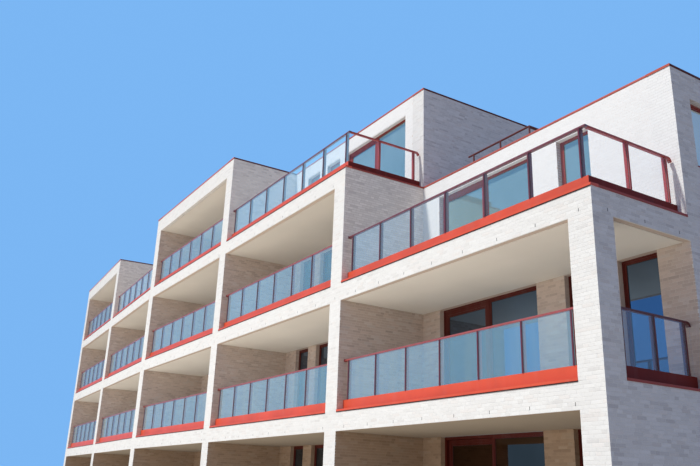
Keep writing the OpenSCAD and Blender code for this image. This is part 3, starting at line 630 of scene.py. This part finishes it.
def faceSlips(face, relief):
    side, plane, start, end, low, high, turned, faceHoles, corners = face
    outward = -1 if side in ("front", "left") else 1
    level = plane + outward * slips["proud"]
    alongX = side in ("front", "back")
    at = [place(t, level, turned) if alongX else place(level, t, turned) for t in (0, 1)]
    base = sum(at[0])
    rate = sum(at[1]) - base
    half, course, length = bond["joint"] / 2, bond["course"], bond["length"]
    rows = []
    firstRow = math.floor((low - bond["firstCourse"]) / course)
    lastRow = math.ceil((high - bond["firstCourse"]) / course)
    for row in range(firstRow, lastRow):
        z0 = max(low, bond["firstCourse"] + row * course + half)
        z1 = min(high, bond["firstCourse"] + (row + 1) * course - half)
        if z1 - z0 < slips["cornerSnap"]:
            continue
        shift = (row * bond["shift"]) % 1
        first = math.floor((base + rate * start) / length + shift)
        last = math.floor((base + rate * end) / length + shift)
        holes = [hole for hole in faceHoles if hole[2] < z1 and hole[3] > z0]
        over = slips["proud"] * ((row + alongX) % 2)
        for number in range(first, last + 1):
            cut = (number * bond["cutAlong"] + row * bond["cutUp"]) % 1 < bond["cutShare"]
            pieces = 2 if cut else 1
            for n in range(pieces):
                a = ((number + n / pieces - shift) * length - base) / rate + half
                b = ((number + (n + 1) / pieces - shift) * length - base) / rate - half
                a, b = max(a, start), min(b, end)
                if corners[0] and a - start < slips["cornerSnap"]:
                    a = start - over
                if corners[1] and end - b < slips["cornerSnap"]:
                    b = end + over
                rects = [(a, b, z0, z1)]
                for hole in holes:
                    rects = without(rects, hole)
                rows += [r for r in rects
                         if r[1] - r[0] > slips["least"] and r[3] - r[2] > slips["cornerSnap"]]
    rows = np.array(rows)
    proud = relief * (slips["proud"] + slips["spread"] * roughness.uniform(-1, 1, len(rows)))
    inner = np.full(len(rows), plane - outward * slips["bite"])
    outer = plane + outward * proud
    depth = [outer, inner] if outward < 0 else [inner, outer]
    along = [rows[:, 0], rows[:, 1]]
    sides = along + depth if alongX else depth + along
    return np.stack(sides + [rows[:, 2], rows[:, 3], np.full(len(rows), float(turned))], axis=1)


def slipPiece(name, faces, lookName, finish="brickSlips", relief=1.0):
    rows = np.concatenate([faceSlips(face, relief) for face in faces])
    joinedBlocks(name, rows, lookName, finish=finish)
    print(name, len(rows), "slips")


# Vents stand in the upright joints of the second course of each band
vents = {"width": 0.012, "depth": 0.0015, "inset": 0.001, "pitch": 0.94, "first": 0.58, "evenFirst": 0.27,
         "room": 0.2, "endPitch": 0.9, "endFirst": 0.36, "endCount": 3}


def ventHole(at, level):
    z0 = floorZ(level) - block["band"] + bond["course"]
    return at - vents["width"] / 2, at + vents["width"] / 2, z0, z0 + bond["course"]


frontVents = {bay: [] for bay in bays}
for bay, level in guarded:
    at = leftX(bay - 1) - vents["first" if level % 2 else "evenFirst"]
    while at > leftX(bay) + vents["room"]:
        frontVents[bay].append(ventHole(at, level))
        at -= vents["pitch"]
endVents = [ventHole(vents["endFirst"] + n * vents["endPitch"], 2) for n in range(vents["endCount"])]


# Openings of a bay's front, and the air over it
def frontHoles(bay):
    holes = [(leftX(bay), rightX(bay), *openStorey(bay, level)) for level in range(loggias(bay))]
    if not hasLoggiaRoof(bay):
        right = 0 if bay == 1 else rightX(bay)
        holes.append((leftX(bay), right, floorZ(loggias(bay)), block["skyZ"]))
    return holes + frontVents[bay]


def partyTop(bay):
    return floorZ(max(loggias(bay), loggias(min(bay + 1, 5))))


straightHoles = [hole for bay in (1, 2, 3) for hole in frontHoles(bay)]
straightHoles.append((leftX(1) - block["wall"], leftX(1), partyTop(1), block["skyZ"]))
wingHoles = [hole for bay in (4, 5) for hole in frontHoles(bay)]
lowest = block["ground"]
topZ = floorZ(4)
slipPiece("frontBricks", [
    wallFace("front", 0, block["wingX"], 0, lowest, topZ, holes=straightHoles, corners=(False, True)),
    wallFace("front", 0, leftX(5) - block["wall"], block["wingX"], lowest, topZ, True, wingHoles,
             (True, False)),
], "brick")
endOpening = (pier, loggiaY, floorZ(1), floorZ(2) - block["band"])
endWindow = {"start": loggiaY + block["innerWall"] + 0.2, "width": 2.2, "sill": 1.08, "head": 2.47}
endHoles = [endOpening, (-1, loggiaY, floorZ(2), block["skyZ"])] + endVents
for level in range(storeys(1)):
    endHoles.append((endWindow["start"], endWindow["start"] + endWindow["width"],
                     floorZ(level) + endWindow["sill"], floorZ(level) + endWindow["head"]))
slipPiece("nearEndBricks", [
    wallFace("right", 0, 0, block["depth"], lowest, roofZ(1), holes=endHoles, corners=(True, True)),
], "brick", "shadeSideSlips")
slipPiece("farEndBricks", [
    wallFace("left", leftX(5) - block["wall"], 0, block["depth"], lowest, topZ, True, corners=(True, True)),
], "brick")
slipPiece("penthouseSideBricks", [
    wallFace("right", leftX(1), loggiaY, block["depth"], roofZ(1), roofZ(2), corners=(True, True)),
], "brick", "shadeSideSlips")

# The cheeks between the front and the inner walls
rightward, leftward, openAir = [], [], []
for bay, level in everyStorey:
    low, high = openStorey(bay, level)
    terrace = level >= loggias(bay)
    top = partyTop(bay) if terrace else high
    if top > low:
        (openAir if terrace else rightward).append(
            wallFace("right", leftX(bay), 0, loggiaY, low, top, inWing(bay), corners=(True, False)))
    if bay == 1:
        deep = loggiaY if level == 0 else pier
        if level < 2:
            leftward.append(wallFace("left", -block["wall"], 0, deep, low, high, corners=(True, level == 1)))
        continue
    top = partyTop(bay - 1) if terrace else high
    if top > low:
        (openAir if terrace else leftward).append(
            wallFace("left", rightX(bay), 0, loggiaY, low, top, bay > 4, corners=(True, False)))
leftward.append(wallFace("back", pier, -block["wall"], 0, floorZ(1), floorZ(2) - block["band"],
                         corners=(True, True)))
slipPiece("loggiaLeftCheekBricks", rightward, "inner_brick", "loggiaSlips", slips["loggiaRelief"])
slipPiece("loggiaRightCheekBricks", leftward, "inner_brick", "loggiaSlips", slips["loggiaRelief"])
slipPiece("terraceCheekBricks", openAir, "brick", "bounceLitSlips", slips["loggiaRelief"])

# Front openings of the inner walls, as left edge and width
window = {"unit": 3.22, "split": 1.63, "endGap": 0.67, "gap": 0.35, "sideWidth": 0.86, "sideX": 2.34,
               "sidePitch": 1.31, "slot": 0.81, "slotX": 0.73, "topSlotX": 0.93, "slotPitch": 1.32,
               "frame": 0.06, "frameDepth": 0.07, "sash": 0.1, "leafBack": 0.01, "pane": 0.03}


def unitLeft(bay):
    if bay == 1:
        return leftX(1) + window["endGap"]
    return rightX(bay) - window["gap"] - window["unit"]


def sideWindows(bay, level):
    if bay == 1:
        first = -block["wall"] - window["sideX"]
        return [(first + n * window["sidePitch"], window["sideWidth"])
                for n in range(2 if level < loggias(1) else 1)]
    first = leftX(bay) + window["topSlotX" if level == 3 else "slotX"]
    return [(first, window["slot"]), (first + window["slotPitch"], window["slot"])]


def headHeight(bay, level):
    if hasLoggiaRoof(bay) and level == storeys(bay) - 1:
        return block["storey"] - block["roofBand"]
    return block["headHeight"]


lining = {"front": 0.004, "height": 0.025, "bite": 0.001}
inner, penthouse, linings = [], [], []
for bay, level in everyStorey:
    low, high = openStorey(bay, level)
    head = low + headHeight(bay, level)
    openings = sideWindows(bay, level) + [(unitLeft(bay), window["unit"])]
    holes = [(x, x + width, low, head) for x, width in openings]
    atEnd = bay == 1 and level > 0
    right = 0 if atEnd else slantRight(bay, loggiaY)
    lit = level >= loggias(bay)
    (penthouse if lit else inner).append(
        wallFace("front", loggiaY, leftX(bay), right, low, high, inWing(bay), holes,
                 (lit and bay == 2, atEnd)))
    if lit:
        linings += [(x, x + width, loggiaY + lining["front"], loggiaY + block["reveal"],
                     head - lining["height"], head + lining["bite"], inWing(bay)) for x, width in openings]
slipPiece("innerWallBricks", inner, "inner_brick", "loggiaSlips", slips["loggiaRelief"])
slipPiece("penthouseFrontBricks", penthouse, "brick", "paintedLightSlips", slips["penthouseRelief"])
joinedBlocks("headLinings", linings, "window_frame", finish="liningWhite")

inset = vents["inset"]
ventRows = [(a, b, -vents["depth"], inset, low + inset, high - inset, inWing(bay))
            for bay in bays for a, b, low, high in frontVents[bay]]
ventRows += [(-inset, vents["depth"], a, b, low + inset, high - inset, 0) for a, b, low, high in endVents]
joinedBlocks("bandVents", ventRows, "window_frame", finish="ventDark")


# Whether a bay's floor is a terrace whose right end is open, over the lower bay beside it
def openCorner(bay, level):
    return level == loggias(bay) and level < storeys(bay) and (bay == 1 or storeys(bay - 1) == level)


# Tiles on the floors of the loggias and terraces, laid from the inner wall to the front
tile = {"size": 0.6, "joint": 0.006, "thick": 0.008, "bite": 0.001, "front": 0.28, "side": 0.28}
tileRows = []
for bay, level in guarded:
    right = slantRight(bay, loggiaY)
    if bay == 1 or openCorner(bay, level):
        right = leftX(bay - 1) - tile["side"]
    besidePier = bay == 1 and level == 1
    y1 = loggiaY
    while y1 > tile["front"]:
        y0 = max(y1 - tile["size"], tile["front"])
        if besidePier and y1 > pier:
            y0 = max(y0, pier)
        end = rightX(bay) if besidePier and y0 < pier else right
        x0 = leftX(bay)
        while x0 < end:
            x1 = min(x0 + tile["size"], end)
            tileRows.append((x0 + tile["joint"], x1, y0 + tile["joint"], y1, floorZ(level) - tile["bite"],
                             floorZ(level) + tile["thick"], inWing(bay)))
            x0 += tile["size"]
        y1 = y0
joinedBlocks("floorTiles", tileRows, "concrete", finish="tile")
print("floorTiles", len(tileRows), "tiles")

# Balustrades: pane edges, clamps, wall plates and bolts
guard = {"fasciaY": 0.165, "fasciaTop": 0.265, "railTop": 1.18, "lowRailTop": 1.12, "postGap": 0.2,
         "cornerGap": 0.128, "postY": 0.177, "postThick": 0.045, "panes": 6, "glassY": 0.165, "glass": 0.012,
         "joint": 0.01, "railY": 0.159, "railWidth": 0.07, "railHeight": 0.04, "sidePitch": 1.03,
         "topSidePitch": 1.11, "baseThick": 0.01}
pane = {"edge": 0.005, "proud": 0.001, "back": 0.0005, "lift": 0.001, "plate": 0.008, "plateOver": 0.012,
        "boltSide": 0.034, "boltBack": 0.03, "clamp": 0.032, "clampOut": 0.013, "clampIn": 0.002}
# Dark strips under the front sills' lips are painted shadow
sillShadow = {"out": 0.0105, "in": 0.0005, "height": 0.02, "down": 0.0005}


def guardTops(level):
    rail = "lowRailTop" if level == 3 else "railTop"
    return floorZ(level) + guard["fasciaTop"], floorZ(level) + guard[rail]


def guardRight(bay, level):
    return leftX(bay - 1) if openCorner(bay, level) else rightX(bay)


def postLine(bay, level):
    first = leftX(bay) + guard["postGap"]
    last = rightX(bay) - guard["postGap"]
    if openCorner(bay, level):
        last = guardRight(bay, level) - guard["fasciaY"] - guard["cornerGap"]
    return [round(first + (last - first) * n / guard["panes"], 3) for n in range(guard["panes"] + 1)]


# Where panes end along a line of posts; a line that follows no pane, or ends without one, has its
# outer panes cover the end posts
def paneEnds(line, follows, runsOn):
    half, joint, e = guard["postThick"] / 2, guard["joint"] / 2, pane["edge"]
    found = []
    for n, at in enumerate(line):
        if n == 0 and not follows:
            found.append((at - half, at - half + e))
        else:
            if n or follows:
                found.append((at - joint - e, at - joint))
            if n < len(line) - 1 or runsOn:
                found.append((at + joint, at + joint + e))
    if not runsOn:
        found[-1] = (line[-1] + half - e, line[-1] + half)
    return found


edges, plates, boltPlaces, beads, clamps, sideClamps = [], [], [], [], [], []


# The small parts of one guard. In front it runs along X; with sideX given it runs along Y, and what is
# measured back from the front is measured back from sideX.
def dressGuard(level, line, covers, ends, clampRows, turned=0, sideX=None):
    def row(a, b, near, far, z0, z1):
        plan = (a, b, near, far) if sideX is None else (sideX - far, sideX - near, a, b)
        return (*plan, z0, z1, turned)

    bottom, top = guardTops(level)
    z0, z1 = bottom + pane["lift"], top - guard["railHeight"]
    near, far = guard["glassY"] - pane["proud"], guard["glassY"] + guard["glass"] - pane["back"]
    edges.extend(row(a, b, near, far, z0, z1) for a, b in paneEnds(line, *covers))
    back, half = guard["postY"] + pane["boltBack"], pane["clamp"] / 2
    for at in line:
        clampRows.append(row(at - half, at + half, guard["glassY"] - pane["clampOut"],
                             near + pane["clampIn"], z0, z1))
        for side in (-pane["boltSide"], pane["boltSide"]):
            spot = (at + side, back) if sideX is None else (sideX - back, at + side)
            boltPlaces.append((*spot, floorZ(level) + guard["baseThick"], turned))
    over = pane["plateOver"]
    for at, way in ends:
        plates.append(row(*sorted((at, at + way * pane["plate"])), guard["railY"] - over,
                          guard["railY"] + guard["railWidth"] + over, z1 - over, top + over))


for bay, level in guarded:
    isOpen = openCorner(bay, level)
    ends = [(leftX(bay), 1)] if isOpen else [(leftX(bay), 1), (rightX(bay), -1)]
    dressGuard(level, postLine(bay, level), (False, isOpen), ends, clamps, inWing(bay))
    beads.append((leftX(bay), guardRight(bay, level), -sillShadow["out"], sillShadow["in"],
                  floorZ(level) - sillShadow["height"], floorZ(level) - sillShadow["down"], inWing(bay)))
lastPost = loggiaY - guard["postGap"]
dressGuard(1, [pier + guard["postGap"], (pier + loggiaY) / 2, lastPost], (False, True), [(pier, 1)],
           sideClamps, sideX=0)
dressGuard(2, [lastPost - guard["sidePitch"], lastPost], (True, True), [], sideClamps, sideX=0)
dressGuard(3, [lastPost - guard["topSidePitch"], lastPost], (True, True), [], sideClamps, sideX=leftX(1))
joinedBlocks("paneEdges", edges, "guard_glass", finish="glassEdge")
joinedBlocks("railWallPlates", plates, "handrail")
joinedBlocks("paneClamps", clamps, "handrail", finish="clampPaint")
joinedBlocks("sidePaneClamps", sideClamps, "handrail", finish="sideRailPaint")
joinedBlocks("sillShadowStrips", beads, "fascia", finish="bead")

bolt = {"washer": 0.011, "washerThick": 0.002, "head": 0.0085, "taper": 0.85, "height": 0.008}


# Bolts at many places as one mesh: each place is x, y, z and 1 in the wing
def joinedBolts(name, places, washerThick=0.0):
    shape = bmesh.new()
    if washerThick:
        bmesh.ops.create_cone(shape, cap_ends=True, segments=10, radius1=bolt["washer"],
                              radius2=bolt["washer"], depth=washerThick,
                              matrix=Matrix.Translation((0, 0, washerThick / 2)))
    bmesh.ops.create_cone(shape, cap_ends=True, segments=6, radius1=bolt["head"],
                          radius2=bolt["head"] * bolt["taper"], depth=bolt["height"],
                          matrix=Matrix.Translation((0, 0, washerThick + bolt["height"] / 2)))
    shape.verts.index_update()
    points, faces = [], []
    for x, y, z, turned in places:
        start = len(points)
        points += [(*place(x + v.co.x, y + v.co.y, turned), z + v.co.z) for v in shape.verts]
        faces += [[start + v.index for v in face.verts] for face in shape.faces]
    shape.free()
    mesh = bpy.data.meshes.new(name)
    mesh.from_pydata(points, [], faces)
    finishPiece(name, mesh, "handrail", finish="steel")


joinedBolts("basePlateBolts", boltPlaces, bolt["washerThick"])
print("balustrade details made")

# Glazing beads round the outer faces of all panes, rubbers inside them, and thin sheets: ones with a coating
# over the terrace panes, and pale ones over the end wall's top panes, which are a painted sky reflection
rubber = {"width": 0.008, "proud": 0.003, "bite": 0.001, "bead": 0.03, "beadProud": 0.012, "sheet": 0.002}
strips, glassBeads, coatedPanes, endReflectionSheets = [], [], [], []


# One pane's four strips; side is where the outside lies
def paneStrips(side, plane, a, b, z0, z1, turned, w, proud):
    out = -1 if side == "front" else 1
    depth = sorted((plane - out * rubber["bite"], plane + out * proud))
    rows = []
    for c, d, low, high in ((a, b, z0, z0 + w), (a, b, z1 - w, z1), (a, a + w, z0 + w, z1 - w),
                            (b - w, b, z0 + w, z1 - w)):
        rows.append((*depth, c, d, low, high, 0) if side == "right" else (c, d, *depth, low, high, turned))
    return rows


def glaze(side, plane, a, b, z0, z1, turned=False, withSheet=False, beadRows=glassBeads, rubberRows=strips):
    w = rubber["bead"]
    if withSheet:
        sheet = (z0 + w, z1 - w, turned)
        if side == "right":
            endReflectionSheets.append((plane - rubber["bite"], plane + rubber["sheet"], a + w, b - w, *sheet))
        else:
            coatedPanes.append((a + w, b - w, plane - rubber["sheet"], plane + rubber["bite"], *sheet))
    beadRows.extend(paneStrips(side, plane, a, b, z0, z1, turned, w, rubber["beadProud"]))
    rubberRows.extend(paneStrips(side, plane, a + w, b - w, z0 + w, z1 - w, turned, rubber["width"],
                                 rubber["proud"]))


bar, sash = window["frame"], window["sash"]
glassIn = (window["frameDepth"] - window["pane"]) / 2
frameY = loggiaY + block["reveal"]
paneY = frameY + glassIn
for bay, level in everyStorey:
    low, high = floorZ(level) + bar, floorZ(level) + headHeight(bay, level) - bar
    flags = (inWing(bay), level >= loggias(bay))
    for x, width in sideWindows(bay, level):
        glaze("front", paneY, x + bar, x + width - bar, low, high, *flags)
    x = unitLeft(bay)
    split = x + window["split"]
    glaze("front", paneY, split + bar / 2, x + window["unit"] - bar, low, high, *flags)
    if level or bay > 2:
        glaze("front", paneY + window["leafBack"], x + bar + sash, split - bar / 2 - sash,
              low + sash, high - sash, *flags)

rear = {"wide": 2.4, "narrow": 1.2, "gap": 0.9, "sill": 0.8, "sillHeight": 0.03}


# The equal panes of one window in the rear or the end wall, beside each other
def glazeWindow(side, plane, start, width, count, level, sill, head, turned=False, withSheet=False):
    clear = (width - (count + 1) * bar) / count
    for n in range(count):
        a = start + bar + n * (clear + bar)
        glaze(side, plane, a, a + clear, floorZ(level) + sill + rear["sillHeight"] + bar,
              floorZ(level) + head - bar, turned, withSheet)


for bay in bays:
    narrowX = slantRight(bay, block["depth"]) - rear["gap"] - rear["narrow"]
    for x, width, count in ((leftX(bay) + rear["gap"], rear["wide"], 2), (narrowX, rear["narrow"], 1)):
        for level in range(storeys(bay)):
            glazeWindow("back", block["depth"] - block["reveal"] - glassIn, x, width, count, level,
                        rear["sill"], block["headHeight"], inWing(bay))
# The end wall's top window gets pale sheets over its panes, a painted sky reflection
for level in range(storeys(1)):
    glazeWindow("right", -block["reveal"] - glassIn, endWindow["start"], endWindow["width"], 2, level,
                endWindow["sill"], endWindow["head"], withSheet=level == storeys(1) - 1)
joinedBlocks("glazingBeads", glassBeads, "window_frame")
joinedBlocks("glazingRubbers", strips, "window_frame", finish="rubber")
joinedBlocks("coatedPanes", coatedPanes, "window_glass", finish="coatedGlass")
joinedBlocks("endSkyReflectionPanes", endReflectionSheets, "window_glass", finish="skyReflectionGlass")
door = {"gap": 0.005, "leafY": 0.075, "leafWidth": 1.635, "leafZ": 0.07, "leafHeight": 2.435,
        "leafDepth": 0.054}
for bay in (1, 2):
    x = unitLeft(bay) + bar + door["gap"]
    y = frameY + door["leafY"] + (door["leafDepth"] - window["pane"]) / 2
    z = floorZ(0) + door["leafZ"]
    doorBeads, doorStrips = [], []
    glaze("front", y, x + sash, x + door["leafWidth"] - sash, z + sash, z + door["leafHeight"] - sash,
          beadRows=doorBeads, rubberRows=doorStrips)
    joinedBlocks("doorBeads%d" % bay, doorBeads, "door_leaf", "terrace_door_%d" % bay)
    joinedBlocks("doorRubbers%d" % bay, doorStrips, "door_leaf", "terrace_door_%d" % bay, "rubber")
print("glazing made")

# Straps over the joints of the copings
strap = {"width": 0.07, "thick": 0.002, "bite": 0.001, "pitch": 3.0, "top": 0.05, "edge": 0.006,
         "drip": 0.014, "lip": 0.012}
straps = []


# A strap over a coping that runs along X or Y, whose full width is from a to b
def coverStrap(alongX, at, a, b, wallTop, turned):
    c, d = at - strap["width"] / 2, at + strap["width"] / 2
    top = wallTop + strap["top"]
    parts = [(a + strap["edge"], b - strap["edge"], top - strap["bite"], top + strap["thick"]),
             (a - strap["thick"], a + strap["bite"], wallTop + strap["drip"], top - strap["edge"]),
             (b - strap["bite"], b + strap["thick"], wallTop + strap["drip"], top - strap["edge"])]
    for low, high, z0, z1 in parts:
        straps.append((c, d, low, high, z0, z1, turned) if alongX else (low, high, c, d, z0, z1, turned))


lip, wall, depth, roofEdge = strap["lip"], block["wall"], block["depth"], block["roofEdge"]
walls = [(-wall, loggiaY, roofZ(1), 0), (leftX(1) - wall, loggiaY, roofZ(2), 0)]
walls += [(leftX(bay) - wall, 0, roofZ(bay), inWing(bay)) for bay in bays if bay > 1]
for x, start, top, turned in walls:
    count = round((depth - start) / strap["pitch"])
    for n in range(1, count):
        at = start + n * (depth - start) / count
        coverStrap(False, at, x - lip, x + wall + lip, top, turned)
for bay in bays:
    front = 0 if hasLoggiaRoof(bay) else loggiaY
    for y0, y1 in ((front - lip, front + roofEdge + lip), (depth - roofEdge - lip, depth + lip)):
        for n in (1, 2):
            at = leftX(bay) + n * (slantRight(bay, y0) - leftX(bay)) / 3
            coverStrap(True, at, y0, y1, roofZ(bay), inWing(bay))
joinedBlocks("copingStraps", straps, "coping")

# Laps of the roof felt
felt = {"width": 0.016, "height": 0.004, "bite": 0.001, "pitch": 1.0, "first": 0.6, "room": 0.2,
        "slantRoom": 0.7, "gap": 0.01, "below": 0.15}
seams = []
for bay in bays:
    top = roofZ(bay) - felt["below"]
    front = roofEdge if hasLoggiaRoof(bay) else loggiaY + roofEdge + lip
    x = leftX(bay) + felt["first"]
    while x < rightX(bay) - felt["slantRoom" if bay == 4 else "room"]:
        seams.append((x, x + felt["width"], front + felt["gap"], depth - roofEdge - lip, top - felt["bite"],
                      top + felt["height"], inWing(bay)))
        x += felt["pitch"]
joinedBlocks("feltSeams", seams, "roof_felt", finish="feltSeam")

# Four bolts in each foot of the roof rail
flange = {"x": 4.61, "width": 2.26, "end": 0.1, "y": 3.5, "side": 1.2, "circle": 0.047, "thick": 0.01}
run = flange["width"] / 2 - flange["end"]
flangeBolts = []
for x, y in ((-2 * run, 0), (-run, 0), (0, 0), (0, flange["side"] - flange["end"])):
    for n in range(4):
        turn = math.radians(45 + 90 * n)
        flangeBolts.append((-flange["x"] + x + math.cos(turn) * flange["circle"],
                            flange["y"] + y + math.sin(turn) * flange["circle"],
                            roofZ(1) - felt["below"] + flange["thick"], 0))
joinedBolts("flangeBolts", flangeBolts)
print("roof details made")

# Light, floor and camera
studio = {"sunLevel": 3.35, "sunAngle": math.radians(4), "sunHeight": math.radians(55),
          "sunSide": math.radians(15), "sunColor": (1.0, 0.98, 0.925), "air": (0.69, 0.87, 1.42),
          "airLevel": 0.35, "backdrop": (0.20, 0.47, 0.90), "floor": (0.60, 0.585, 0.56),
          "floorBounce": (0.29, 0.262, 0.225), "floorRadius": 260, "fillLevel": 3.9,
          "fillColor": (1.0, 0.92, 0.79), "fillSize": (46, 30), "fillPlace": (-20, -17.5), "fillZ": 0.05}


# A unit vector from a turn about Z, counted from +Y to minus X, and a height over the ground
def aim(turn, height):
    return Vector((-math.sin(turn) * math.cos(height), math.cos(turn) * math.cos(height), math.sin(height)))


def seenBy(tree, *kinds):
    rays = tree.nodes.new("ShaderNodeLightPath").outputs
    seen = rays[kinds[0]]
    for kind in kinds[1:]:
        seen = calc(tree, "MAXIMUM", seen, rays[kind])
    return seen


sun = bpy.data.lights.new("sun", "SUN")
sun.energy, sun.angle, sun.color = studio["sunLevel"], studio["sunAngle"], studio["sunColor"]
toSun = aim(math.pi - studio["sunSide"], studio["sunHeight"])
addObject("sun", sun).rotation_euler = toSun.to_track_quat("Z", "Y").to_euler()

# A soft fill lies low along the front and lights the ceilings from below
fill = bpy.data.lights.new("frontFill", "AREA")
fill.shape = "RECTANGLE"
fill.size, fill.size_y = studio["fillSize"]
fill.energy = studio["fillLevel"] * fill.size * fill.size_y
fill.color = studio["fillColor"]
fillObject = addObject("frontFill", fill)
fillObject.location = (*place(*studio["fillPlace"]), studio["fillZ"])
fillObject.rotation_euler = (math.pi, 0, 0)
fillObject.visible_camera = False
fillObject.visible_glossy = False

world = bpy.data.worlds.new("studioAir")
bpy.context.scene.world = world
world.use_nodes = True
tree = world.node_tree
air = tree.nodes["Background"]
air.inputs["Color"].default_value = (*studio["air"], 1)
air.inputs["Strength"].default_value = studio["airLevel"]
backdrop = nodeIn(tree, "ShaderNodeBackground", {"Color": studio["backdrop"], "Strength": 1.0})
seen = seenBy(tree, "Is Camera Ray", "Is Glossy Ray", "Is Transmission Ray")
blend = nodeIn(tree, "ShaderNodeMixShader", {"Fac": seen, 1: air.outputs[0], 2: backdrop.outputs[0]})
tree.links.new(blend.outputs[0], tree.nodes["World Output"].inputs["Surface"])

floorMesh = bmesh.new()
bmesh.ops.create_circle(floorMesh, cap_ends=True, segments=96, radius=studio["floorRadius"])
mesh = bpy.data.meshes.new("studioFloor")
floorMesh.to_mesh(mesh)
floorMesh.free()
floorLook, tree, shader, position = newMaterial("studioFloor", {"Roughness": 0.9, "Specular IOR Level": 0.2})
soft = mottling(tree, position, 0.12, 3.0)
floorColor = ramp(tree, soft["Broad"], [(0.3, scaled(studio["floor"], 0.97)), (0.7, studio["floor"])])
seen = seenBy(tree, "Is Camera Ray", "Is Glossy Ray")
tree.links.new(mixColor(tree, seen, studio["floorBounce"], floorColor), shader.inputs["Base Color"])
mesh.materials.append(floorLook)
addObject("studioFloor", mesh)

eye = {"place": (26.3022, -15.2278, 1.54), "yaw": math.radians(58.576), "pitch": math.radians(18.897),
       "roll": math.radians(2.009), "lens": 38.59}
camera = bpy.data.cameras.new("camera")
camera.lens, camera.sensor_width = eye["lens"], 36
camera.clip_start, camera.clip_end = 0.1, 600
cameraObject = addObject("camera", camera)
ahead = aim(eye["yaw"], eye["pitch"])
level = Vector((math.cos(eye["yaw"]), math.sin(eye["yaw"]), 0))
upward = level.cross(ahead)
rightward = level * math.cos(eye["roll"]) + upward * math.sin(eye["roll"])
upward = upward * math.cos(eye["roll"]) - level * math.sin(eye["roll"])
turn = Matrix((rightward, upward, -ahead)).transposed()
cameraObject.matrix_world = Matrix.Translation(eye["place"]) @ turn.to_4x4()
bpy.context.scene.camera = cameraObject
bpy.context.scene.view_settings.view_transform = "Standard"
print("light and camera set")
